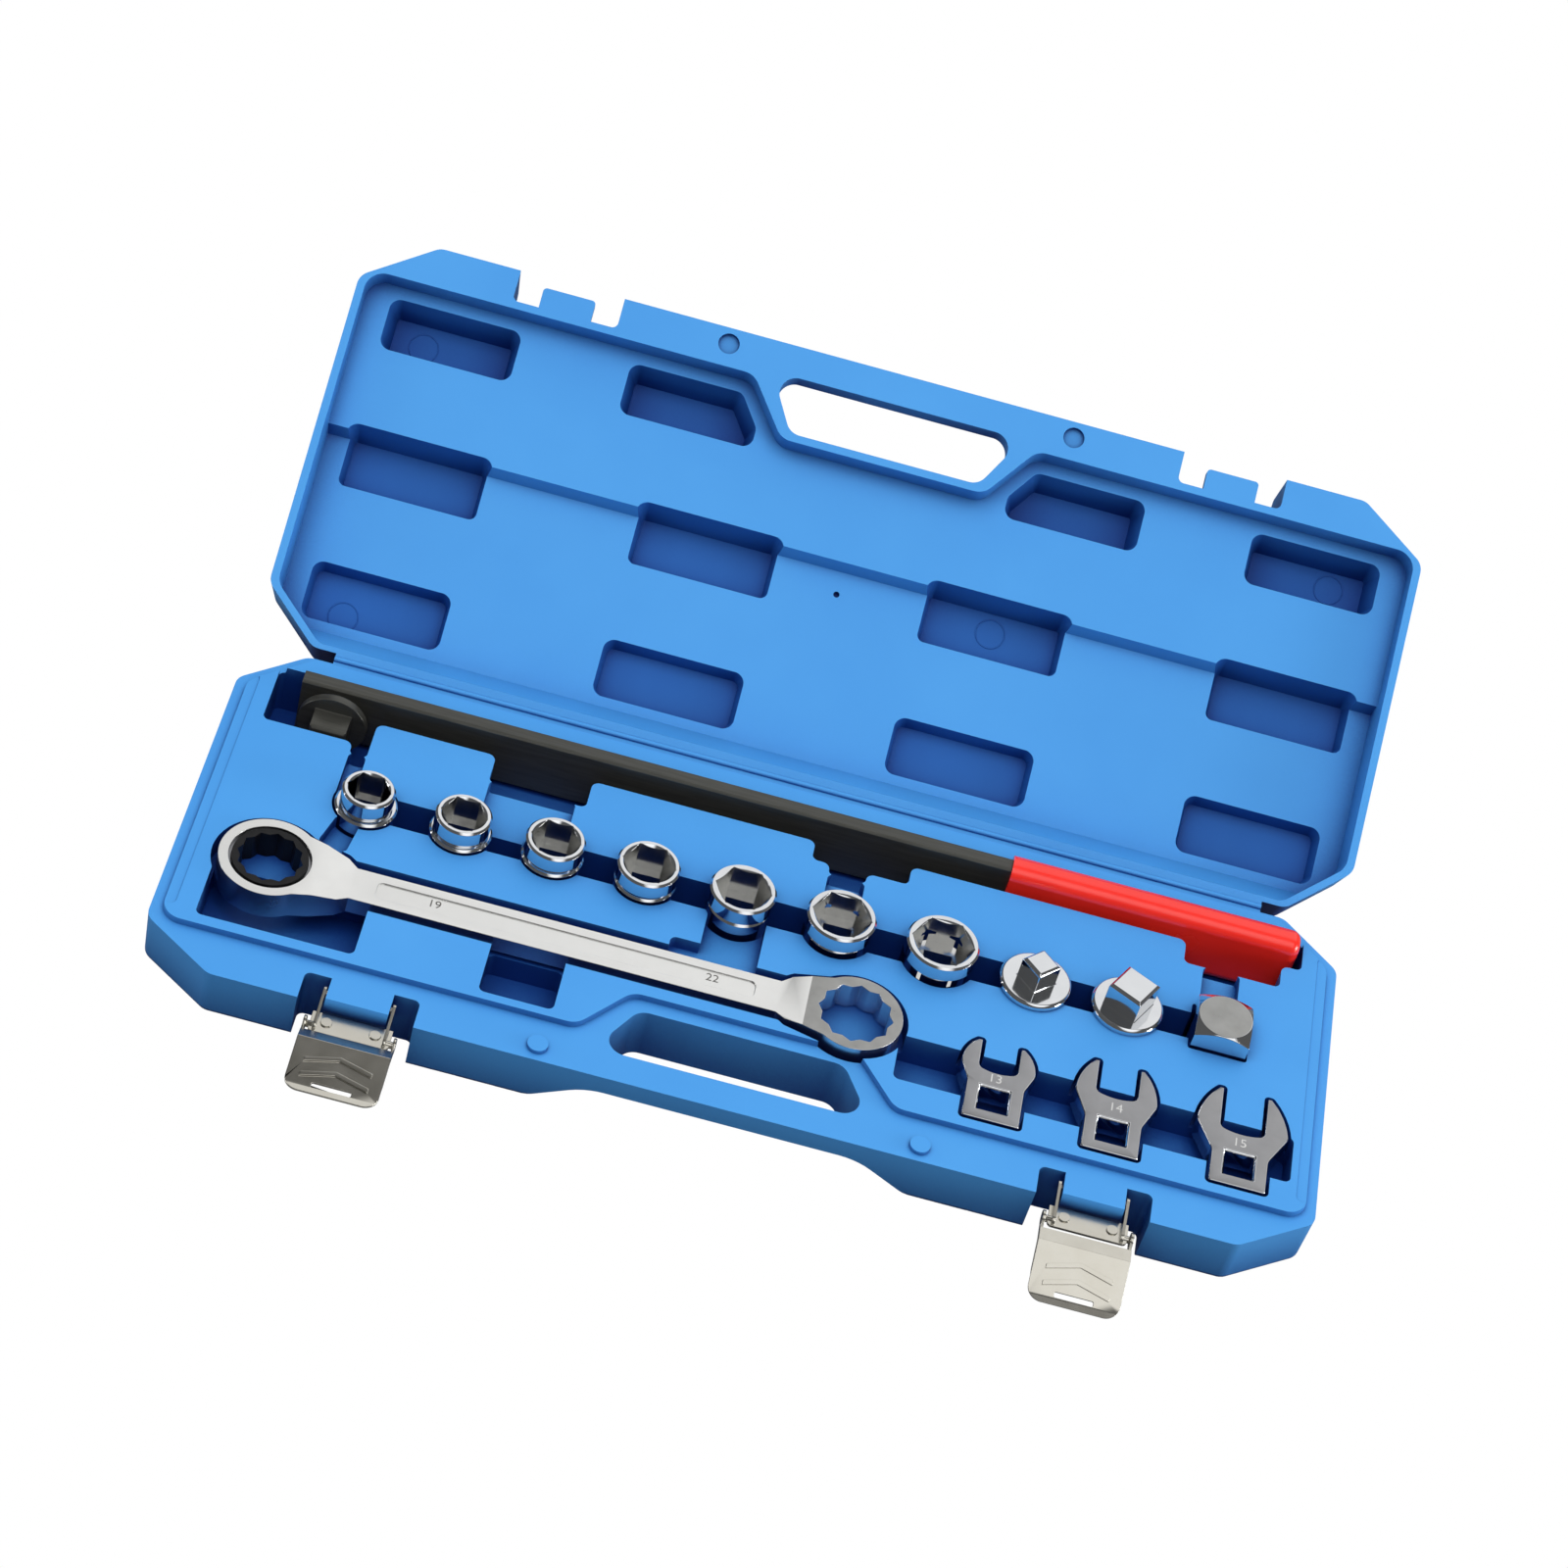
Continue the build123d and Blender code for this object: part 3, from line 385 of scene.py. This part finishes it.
def finish_piece(piece: bpy.types.Object, node: str, slot: str, wardrobe: Wardrobe) -> None:
    """Dress a piece, set it on the body of a CAD node and let it stand for that node.

    Args:
        piece: finished object.
        node: CAD node that it replaces.
        slot: material slot of the record.
        wardrobe: source of the materials.
    """
    piece.data.materials.clear()
    piece.data.materials.append(wardrobe.get(SLOT_LOOKS[slot]))
    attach(piece, frame["nodes"][node]["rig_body"])
    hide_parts(node)
    log.info("finished %s", piece.name)


def node_box(node: str) -> tuple[Vector, Vector]:
    """Measure a CAD node.

    Args:
        node: name of the node.

    Returns:
        Lowest and highest corner of its box, in metres.
    """
    corners = [vertex.co for vertex in frame["nodes"][node].data.vertices]
    low = Vector(min(corner[axis] for corner in corners) for axis in range(3))
    high = Vector(max(corner[axis] for corner in corners) for axis in range(3))
    return low, high


def cut_away(piece: bpy.types.Object, cutter: bpy.types.Object) -> None:
    """Take one object's volume out of another and delete it.

    Args:
        piece: object that is cut.
        cutter: object that is taken out of it.
    """
    tool = piece.modifiers.new("cut", "BOOLEAN")
    tool.operation = "DIFFERENCE"
    tool.solver = "EXACT"
    tool.object = cutter
    select_only(piece)
    bpy.ops.object.modifier_apply(modifier="cut")
    bpy.data.objects.remove(cutter, do_unlink=True)


@dataclass
class RoundedCopy:
    """A CAD node's visible copy, with joined faces and softened edges."""

    node: str
    slot: str
    edge_mm: float
    sharp_degrees: float = 28.0
    join_flats: bool = True
    corner_mm: float = 0.0
    corner_height_mm: float = 15.0

    def build(self, wardrobe: Wardrobe) -> bpy.types.Object:
        """Copy the node, join its loose triangles and round its edges.

        Args:
            wardrobe: source of the materials.

        Returns:
            The piece that stands for the node.
        """
        mesh = frame["nodes"][self.node].data.copy()
        piece = bpy.data.objects.new(self.node + "_piece", mesh)
        bpy.context.scene.collection.objects.link(piece)
        select_only(piece)
        bpy.ops.object.mode_set(mode="EDIT")
        bpy.ops.mesh.select_all(action="SELECT")
        bpy.ops.mesh.remove_doubles(threshold=WELD_MM * MM)
        if self.join_flats:
            bpy.ops.mesh.dissolve_limited(angle_limit=math.radians(FLAT_DEGREES))
        bpy.ops.object.mode_set(mode="OBJECT")
        if self.corner_mm > 0:
            round_corners(piece, self.corner_height_mm, self.corner_mm)
        soften(piece, self.edge_mm, self.sharp_degrees)
        finish_piece(piece, self.node, self.slot, wardrobe)
        return piece


def turned(name: str, foot: Vector, profile: list[tuple[float, float]], sides: int) -> bpy.types.Object:
    """Turn a solid by extruding a disc from ring to ring.

    Args:
        name: name of the new object.
        foot: place of the profile's zero height, in metres.
        profile: radius and height of each ring, in millimetres.
        sides: facets round the axis.

    Returns:
        The turned solid, at the origin with its place in its mesh.
    """
    radius, level = profile[0]
    bpy.ops.object.select_all(action="DESELECT")
    bpy.ops.mesh.primitive_circle_add(
        vertices=sides, radius=radius * MM, fill_type="NGON", location=foot + Vector((0, 0, level * MM)))
    piece = bpy.context.object
    piece.name = name
    bpy.ops.object.transform_apply(location=True, rotation=True, scale=True)
    bpy.ops.object.mode_set(mode="EDIT")
    bpy.ops.mesh.select_all(action="SELECT")
    for (last, below), (radius, level) in zip(profile, profile[1:]):
        bpy.ops.mesh.extrude_region_move(TRANSFORM_OT_translate={"value": (0, 0, (level - below) * MM)})
        share = radius / last
        centre = foot + Vector((0, 0, level * MM))
        bpy.ops.transform.resize(value=(share, share, 1), center_override=centre)
    bpy.ops.mesh.select_all(action="SELECT")
    bpy.ops.mesh.normals_make_consistent(inside=False)
    bpy.ops.object.mode_set(mode="OBJECT")
    return piece


@dataclass
class Socket:
    """Turned hex socket, mouth up, with bevelled ends, a waist groove and a lead-in to its hexagon.

    Lengths are in millimetres. The slopes are the least upward part of a face's normal.
    """

    size_mm: int
    drive_radius: float = 10.6
    wall_share: float = 0.59
    wall: float = 1.3
    shoulder: float = 17.8
    groove: float = 1.5
    groove_depth: float = 0.8
    bevel: float = 0.7
    hex_depth: float = 11.0
    lead_in: float = 0.8
    lead_share: float = 0.75
    drive_square: float = 9.8
    hex_sides: int = 6
    hex_turn: float = 30.0
    overcut: float = 1.0
    cutter_heights: float = 4.0
    sides: int = 72
    edge_mm: float = 0.12
    edge_strips: int = 2
    wall_margin: float = 0.1
    rim_margin: float = 0.2
    rim_slope: float = 0.2
    floor_slope: float = 0.9

    @property
    def node(self) -> str:
        """Name the socket's CAD node.

        Returns:
            The name, with the socket's size in it.
        """
        return f"socket_{self.size_mm}"

    def profile(self, height: float) -> list[tuple[float, float]]:
        """Draw half the section of the turned body.

        Args:
            height: height of the socket.

        Returns:
            Radius and height of each ring, from the foot up.
        """
        mouth = self.size_mm * self.wall_share + self.wall
        waist = min(mouth, self.drive_radius) - self.groove_depth
        neck = self.shoulder + self.groove
        return [
            (self.drive_radius - self.bevel, 0.0), (self.drive_radius, self.bevel),
            (self.drive_radius, self.shoulder - self.bevel),
            (self.drive_radius - self.bevel, self.shoulder),
            (waist, self.shoulder), (waist, neck - self.bevel / 2), (mouth, neck),
            (mouth, height - self.bevel), (mouth - self.bevel, height),
        ]

    def build(self, wardrobe: Wardrobe) -> None:
        """Turn the body, cut its hexagon and square, and finish it.

        Args:
            wardrobe: source of the materials.
        """
        low, high = node_box(self.node)
        foot = Vector(((low.x + high.x) / 2, (low.y + high.y) / 2, low.z))
        height = (high.z - low.z) / MM
        body = turned(self.node + "_piece", foot, self.profile(height), self.sides)
        top = Vector((foot.x, foot.y, high.z))
        flat = self.size_mm / 2
        points = self.size_mm / math.sqrt(3)
        bpy.ops.mesh.primitive_cylinder_add(
            vertices=self.hex_sides, radius=points * MM, depth=2 * self.hex_depth * MM, location=top,
            rotation=(0, 0, math.radians(self.hex_turn)))
        cut_away(body, bpy.context.object)
        wide = flat + self.lead_share * (points - flat)
        slope = (wide - flat) / self.lead_in
        bpy.ops.mesh.primitive_cone_add(
            vertices=self.sides, radius1=(wide - 2 * self.lead_in * slope) * MM,
            radius2=(wide + self.overcut * slope) * MM, depth=(2 * self.lead_in + self.overcut) * MM,
            location=top + Vector((0, 0, self.overcut / 2 - self.lead_in)) * MM)
        cut_away(body, bpy.context.object)
        bpy.ops.mesh.primitive_cube_add(size=self.drive_square * MM, location=foot)
        bpy.ops.transform.resize(value=(1, 1, self.cutter_heights * height / self.drive_square))
        cut_away(body, bpy.context.object)
        soften(body, self.edge_mm, SMOOTH_DEGREES, segments=self.edge_strips)
        finish_piece(body, self.node, "chrome", wardrobe)
        self.dress_bore(body, foot, points, wardrobe)

    def dress_bore(
            self, body: bpy.types.Object, foot: Vector, points: float, wardrobe: Wardrobe) -> None:
        """Give the walls and floor of the hexagon the finish of the bore.

        Args:
            body: finished socket.
            foot: centre of its foot, in metres.
            points: radius of the hexagon's corners, in millimetres.
            wardrobe: source of the materials.
        """
        body.data.materials.append(wardrobe.get(Look.BORE))
        levels = [vertex.co.z for vertex in body.data.vertices]
        foot_level = min(levels) + self.bevel * MM
        rim_level = max(levels) - (self.lead_in + self.rim_margin) * MM
        for face in body.data.polygons:
            arm = Vector((face.center.x - foot.x, face.center.y - foot.y, 0))
            inside = arm.length < (points + self.wall_margin) * MM and face.center.z > foot_level
            inward = face.normal.dot(arm) < 0 or face.normal.z > self.floor_slope
            polished = face.normal.z > self.rim_slope and face.center.z > rim_level
            if inside and inward and not polished:
                face.material_index = 1


@dataclass
class SizeMark:
    """Plain size number stamped on a tool's upper face."""

    text: str
    carrier: str
    slot: str
    x_mm: float
    y_mm: float
    height_mm: float
    rise_mm: float = 0.03
    level_mm: float | None = None
    look: Look = Look.STAMP

    def build(self, wardrobe: Wardrobe) -> None:
        """Set the number on its tool.

        Args:
            wardrobe: source of the materials.
        """
        top = node_box(self.carrier)[1].z if self.level_mm is None else self.level_mm * MM
        bpy.ops.object.select_all(action="DESELECT")
        bpy.ops.object.text_add()
        mark = bpy.context.object
        mark.name = f"{self.carrier}_number_{self.text}"
        mark.data.body = self.text
        mark.data.size = self.height_mm * MM
        mark.data.extrude = self.rise_mm * MM
        mark.data.align_x = "CENTER"
        mark.data.align_y = "CENTER"
        bpy.ops.object.convert(target="MESH")
        mark.location = (self.x_mm * MM, self.y_mm * MM, top)
        bpy.ops.object.transform_apply(location=True, rotation=True, scale=True)
        mark.data.materials.clear()
        mark.data.materials.append(wardrobe.get(self.look))
        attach(mark, frame["nodes"][self.carrier]["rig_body"])


@dataclass(frozen=True)
class Panel:
    """Bright patch of the sky, seen in polished metal, with a soft edge given as cosines from its axis."""

    axis: tuple[float, float, float]
    edge: float
    full: float
    level: float


@dataclass
class Studio:
    """Floor, light and camera, in metres unless a name says otherwise."""

    lens_pixels: float = 4250.3
    principal_point: tuple[float, float] = (859.6, 806.8)
    camera_place: tuple[float, float, float] = (-0.052, -0.962, 1.018)
    camera_right: tuple[float, float, float] = (0.965, 0.147, 0.218)
    camera_up: tuple[float, float, float] = (-0.259, 0.677, 0.689)
    sensor_mm: float = 36.0
    nearest: float = 0.05
    farthest: float = 50.0
    floor_size: float = 12.0
    floor_drop: float = 0.0002
    floor_colour: str = "#808080"
    key_place: tuple[float, float, float] = (-0.2, -0.3, 1.5)
    key_size: float = 1.7
    key_watts: float = 21.5
    side_places: tuple[tuple[float, float, float], ...] = ((1.2, -0.1, 0.14), (-1.2, -0.1, 0.14))
    side_size: float = 0.5
    side_watts: tuple[float, ...] = (10.0, 3.5)
    sky_level: float = 0.11
    panels: tuple[Panel, ...] = (
        Panel((0.25, 0.75, 0.61), 0.84, 0.93, 1.0), Panel((0.3, -0.42, 0.86), 0.9, 0.95, 1.3),
    )

    def camera(self) -> None:
        """Place the camera at the photograph's viewing angle."""
        data = bpy.data.cameras.new("camera")
        data.sensor_width = self.sensor_mm
        data.lens = self.lens_pixels / PHOTO_PIXELS * self.sensor_mm
        half = PHOTO_PIXELS / 2
        data.shift_x = (half - self.principal_point[0]) / PHOTO_PIXELS
        data.shift_y = (self.principal_point[1] - half) / PHOTO_PIXELS
        data.clip_start = self.nearest
        data.clip_end = self.farthest
        camera = bpy.data.objects.new("camera", data)
        bpy.context.scene.collection.objects.link(camera)
        right = Vector(self.camera_right).normalized()
        back = right.cross(Vector(self.camera_up)).normalized()
        up = back.cross(right)
        turn = Matrix((right, up, back)).transposed()
        camera.matrix_world = Matrix.Translation(self.camera_place) @ turn.to_4x4()
        bpy.context.scene.camera = camera

    def floor(self) -> None:
        """Lay a plain floor under the case, white to the camera."""
        bpy.ops.object.select_all(action="DESELECT")
        bpy.ops.mesh.primitive_plane_add(size=self.floor_size, location=(0, 0, -self.floor_drop))
        plane = bpy.context.object
        plane.name = "floor"
        made = bpy.data.materials.new("pale_floor")
        made.use_nodes = True
        tree = made.node_tree
        tree.nodes.clear()
        out = add_node(tree, "ShaderNodeOutputMaterial")
        paper = add_node(tree, "ShaderNodeBsdfDiffuse", {"Color": linear(self.floor_colour)})
        white = add_node(tree, "ShaderNodeEmission", {"Strength": 1.0})
        path = add_node(tree, "ShaderNodeLightPath")
        either = add_node(tree, "ShaderNodeMixShader")
        tree.links.new(path.outputs["Is Camera Ray"], either.inputs["Fac"])
        tree.links.new(paper.outputs["BSDF"], either.inputs[1])
        tree.links.new(white.outputs["Emission"], either.inputs[2])
        tree.links.new(either.outputs["Shader"], out.inputs["Surface"])
        plane.data.materials.append(made)

    def lamp(
            self, name: str, place: tuple[float, float, float], size: float,
            watts: float) -> bpy.types.Object:
        """Hang a square lamp that faces the origin.

        Args:
            name: name of the lamp.
            place: its centre, in metres.
            size: its side, in metres.
            watts: its power.

        Returns:
            The lamp.
        """
        data = bpy.data.lights.new(name, "AREA")
        data.energy = watts
        data.size = size
        lamp = bpy.data.objects.new(name, data)
        lamp.location = place
        lamp.rotation_euler = (-Vector(place)).to_track_quat("-Z", "Y").to_euler()
        bpy.context.scene.collection.objects.link(lamp)
        return lamp

    def light(self) -> None:
        """Hang a soft key overhead, which polished metal does not mirror, and low fills at the ends."""
        key = self.lamp("key", self.key_place, self.key_size, self.key_watts)
        key.visible_glossy = False
        for number, (place, watts) in enumerate(zip(self.side_places, self.side_watts)):
            self.lamp(f"fill_{number}", place, self.side_size, watts)

    def sky(self) -> None:
        """Stretch a dim sky with pale panels over the floor, white to the camera."""
        world = bpy.data.worlds.new("sky")
        bpy.context.scene.world = world
        world.use_nodes = True
        tree = world.node_tree
        tree.nodes.clear()
        out = add_node(tree, "ShaderNodeOutputWorld")
        link = tree.links.new
        place = add_node(tree, "ShaderNodeTexCoord")
        sky = add_node(tree, "ShaderNodeBackground", {"Color": WHITE})
        level = None
        for panel in self.panels:
            toward = add_node(tree, "ShaderNodeVectorMath", operation="DOT_PRODUCT")
            toward.inputs[1].default_value = Vector(panel.axis).normalized()
            patch = add_node(tree, "ShaderNodeMapRange", {
                "From Min": panel.edge, "From Max": panel.full,
                "To Min": self.sky_level, "To Max": panel.level,
            })
            link(place.outputs["Generated"], toward.inputs[0])
            link(toward.outputs["Value"], patch.inputs["Value"])
            brightest = add_node(tree, "ShaderNodeMath", operation="MAXIMUM")
            brightest.inputs[1].default_value = self.sky_level
            link(patch.outputs["Result"], brightest.inputs[0])
            if level is not None:
                link(level, brightest.inputs[1])
            level = brightest.outputs["Value"]
        link(level, sky.inputs["Strength"])
        white = add_node(tree, "ShaderNodeBackground", {"Strength": 1.0, "Color": WHITE})
        path = add_node(tree, "ShaderNodeLightPath")
        either = add_node(tree, "ShaderNodeMixShader")
        link(path.outputs["Is Camera Ray"], either.inputs["Fac"])
        link(sky.outputs["Background"], either.inputs[1])
        link(white.outputs["Background"], either.inputs[2])
        link(either.outputs["Shader"], out.inputs["Surface"])

    def build(self) -> None:
        """Make the whole studio."""
        self.camera()
        self.floor()
        self.light()
        self.sky()
        bpy.context.scene.view_settings.view_transform = "Standard"


@dataclass
class ToolCase:
    """Tray, lid, hinge and latches.

    Places on the lid are measured from the hinge as if the lid lay flat open: along it, away from it
    and up, in millimetres. The slopes are the least upward part of a face's normal.
    """

    edge_mm: float = 0.6
    corner_mm: float = 2.8
    sheet_edge_mm: float = 0.3
    lid_lean: float = 32.6
    hinge_mm: tuple[float, float, float] = (0.0, 77.0, 20.0)
    pocket_floor_mm: float = -22.0
    mark_places: tuple[tuple[float, float], ...] = (
        (-168.0, 123.6), (53.0, 76.2), (167.5, 125.2), (-169.0, 20.7),
    )
    mark_radius: float = 5.2
    mark_line: float = 0.22
    mark_sides: int = 40
    mark_strips: int = 6
    pocket_reach: float = 4.5
    pocket_area: float = 1500.0
    pocket_slack: float = 0.1
    pocket_slope: float = -0.5
    floor_slope: float = 0.99
    panel_level_mm: float = -9.4

    def ejector_marks(self, wardrobe: Wardrobe) -> None:
        """Lay the faint rings that the mould's pins left in the lid's pockets.

        Args:
            wardrobe: source of the materials.
        """
        lean = Matrix.Rotation(math.radians(self.lid_lean), 3, "X")
        for number, (x, v) in enumerate(self.mark_places):
            place = Vector(self.hinge_mm) + lean @ Vector((x, v, self.pocket_floor_mm))
            bpy.ops.object.select_all(action="DESELECT")
            bpy.ops.mesh.primitive_torus_add(
                major_radius=self.mark_radius * MM, minor_radius=self.mark_line * MM,
                major_segments=self.mark_sides, minor_segments=self.mark_strips,
                location=place * MM, rotation=(math.radians(self.lid_lean), 0, 0))
            ring = bpy.context.object
            ring.name = f"ejector_mark_{number}"
            bpy.ops.object.transform_apply(location=True, rotation=True, scale=True)
            # The rings wear the painted shade of the pockets they lie in
            ring.data.materials.append(wardrobe.get(Look.PRESSED))
            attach(ring, frame["nodes"]["lid_shell"]["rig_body"])

    def deepen_pockets(self, lid: bpy.types.Object, wardrobe: Wardrobe) -> None:
        """Paint shade on the floors and walls of the lid's pockets, as a deeper tone of the plastic.

        Args:
            lid: visible piece of the lid.
            wardrobe: source of the materials.
        """
        lid.data.materials.append(wardrobe.get(Look.PRESSED))
        flat = Matrix.Rotation(math.radians(-self.lid_lean), 3, "X")
        hinge = Vector(self.hinge_mm)
        lowest = self.pocket_floor_mm - self.pocket_slack
        floor_level = self.pocket_floor_mm + self.pocket_slack
        floors = []
        inner = []
        for face in lid.data.polygons:
            place = flat @ (face.center / MM - hinge)
            facing = (flat @ face.normal).z
            small = face.area < self.pocket_area * MM * MM
            if small and facing > self.pocket_slope and lowest < place.z < self.panel_level_mm:
                inner.append((face, place))
                if facing > self.floor_slope and place.z < floor_level:
                    corners = [flat @ (lid.data.vertices[i].co / MM - hinge) for i in face.vertices]
                    floors.append(corners)
        for corners in floors:
            low_x, high_x = min(c.x for c in corners), max(c.x for c in corners)
            low_y, high_y = min(c.y for c in corners), max(c.y for c in corners)
            for face, place in inner:
                across = low_x - self.pocket_reach < place.x < high_x + self.pocket_reach
                if across and low_y - self.pocket_reach < place.y < high_y + self.pocket_reach:
                    face.material_index = 1
        log.info("deepened %d pocket floors", len(floors))

    def build(self, wardrobe: Wardrobe) -> None:
        """Make the visible pieces of the case.

        Args:
            wardrobe: source of the materials.
        """
        RoundedCopy("tray_shell", "case", self.edge_mm, corner_mm=self.corner_mm).build(wardrobe)
        lid = RoundedCopy("lid_shell", "case", self.edge_mm).build(wardrobe)
        self.deepen_pockets(lid, wardrobe)
        RoundedCopy("hinge_web", "case", 0.0).build(wardrobe)
        for side in ("left", "right"):
            for part in ("link", "lever"):
                RoundedCopy(f"latch_{part}_{side}", "latch", self.sheet_edge_mm).build(wardrobe)
        self.ejector_marks(wardrobe)


@dataclass
class CrowFoot:
    """Crow-foot spanner with a blasted face, polished edges and its number."""

    size_mm: int
    number_x: float
    number_y: float
    number_height: float = 5.0
    face_slope: float = 0.97

    def build(self, wardrobe: Wardrobe) -> None:
        """Make the spanner and its number.

        Args:
            wardrobe: source of the materials.
        """
        node = f"crowfoot_{self.size_mm}"
        piece = RoundedCopy(node, "crowfoot", 0.0, join_flats=False).build(wardrobe)
        piece.data.materials.append(wardrobe.get(Look.CHROME))
        for face in piece.data.polygons:
            face.material_index = 0 if face.normal.z > self.face_slope else 1
        number = SizeMark(
            str(self.size_mm), node, "crowfoot", self.number_x, self.number_y, self.number_height)
        number.build(wardrobe)


@dataclass
class Tools:
    """Sockets, adapters, spanners and the long bar.

    Places and heights are in millimetres. Each copied tool has its slot and the width of its edges.
    """

    socket_sizes: tuple[int, ...] = (13, 14, 15, 16, 17, 18, 19)
    crowfeet: tuple[tuple[int, float, float], ...] = (
        (13, 83.7, -36.4), (14, 124.5, -35.0), (15, 166.9, -36.0),
    )
    handle_numbers: tuple[tuple[str, float], ...] = (("19", -108.0), ("22", -14.0))
    handle_y: float = -24.4
    handle_level: float = 21.7
    handle_number_height: float = 4.6
    copies: dict[str, tuple[str, float]] = field(default_factory=lambda: {
        "adapter_small": ("chrome", 0.5), "adapter_large": ("chrome", 0.6),
        "square_coupler": ("chrome", 0.4), "spanner_body": ("spanner", 0.35),
        "ratchet_gear": ("gear", 0.1), "ratchet_pawl": ("gear", 0.0),
        "retaining_clip": ("spring_steel", 0.1), "pawl_spring": ("spring_steel", 0.0),
        "tensioner_bar": ("black_steel", 0.2), "bar_drive_stud": ("black_steel", 0.3),
        "bar_grip": ("grip", 0.0),
    })
    ground_from_x: dict[str, float] = field(
        default_factory=lambda: {"square_coupler": 140.0, "spanner_body": 16.0})
    flat_slope: float = 0.97

    def grind(self, piece: bpy.types.Object, from_x_mm: float, wardrobe: Wardrobe) -> None:
        """Give the upper flats at a tool's end a greyer, duller chrome.

        Args:
            piece: visible piece of the tool.
            from_x_mm: place along the case from which flats get the greyer chrome.
            wardrobe: source of the materials.
        """
        piece.data.materials.append(wardrobe.get(Look.GROUND))
        for face in piece.data.polygons:
            if face.normal.z > self.flat_slope and face.center.x > from_x_mm * MM:
                face.material_index = 1

    def build(self, wardrobe: Wardrobe) -> None:
        """Make the visible pieces of every tool.

        Args:
            wardrobe: source of the materials.
        """
        for size in self.socket_sizes:
            Socket(size).build(wardrobe)
        for size, x, y in self.crowfeet:
            CrowFoot(size, x, y).build(wardrobe)
        for node, (slot, edge) in self.copies.items():
            piece = RoundedCopy(node, slot, edge).build(wardrobe)
            if node in self.ground_from_x:
                self.grind(piece, self.ground_from_x[node], wardrobe)
        for text, x in self.handle_numbers:
            number = SizeMark(
                text, "spanner_body", "spanner", x, self.handle_y, self.handle_number_height,
                level_mm=self.handle_level, look=Look.ENGRAVED)
            number.build(wardrobe)


def main() -> None:
    """Build the case, its tools and the studio."""
    logging.basicConfig(level=logging.INFO, format="%(name)s: %(message)s")
    wardrobe = Wardrobe()
    ToolCase().build(wardrobe)
    Tools().build(wardrobe)
    Studio().build()


if __name__ == "__main__":
    main()
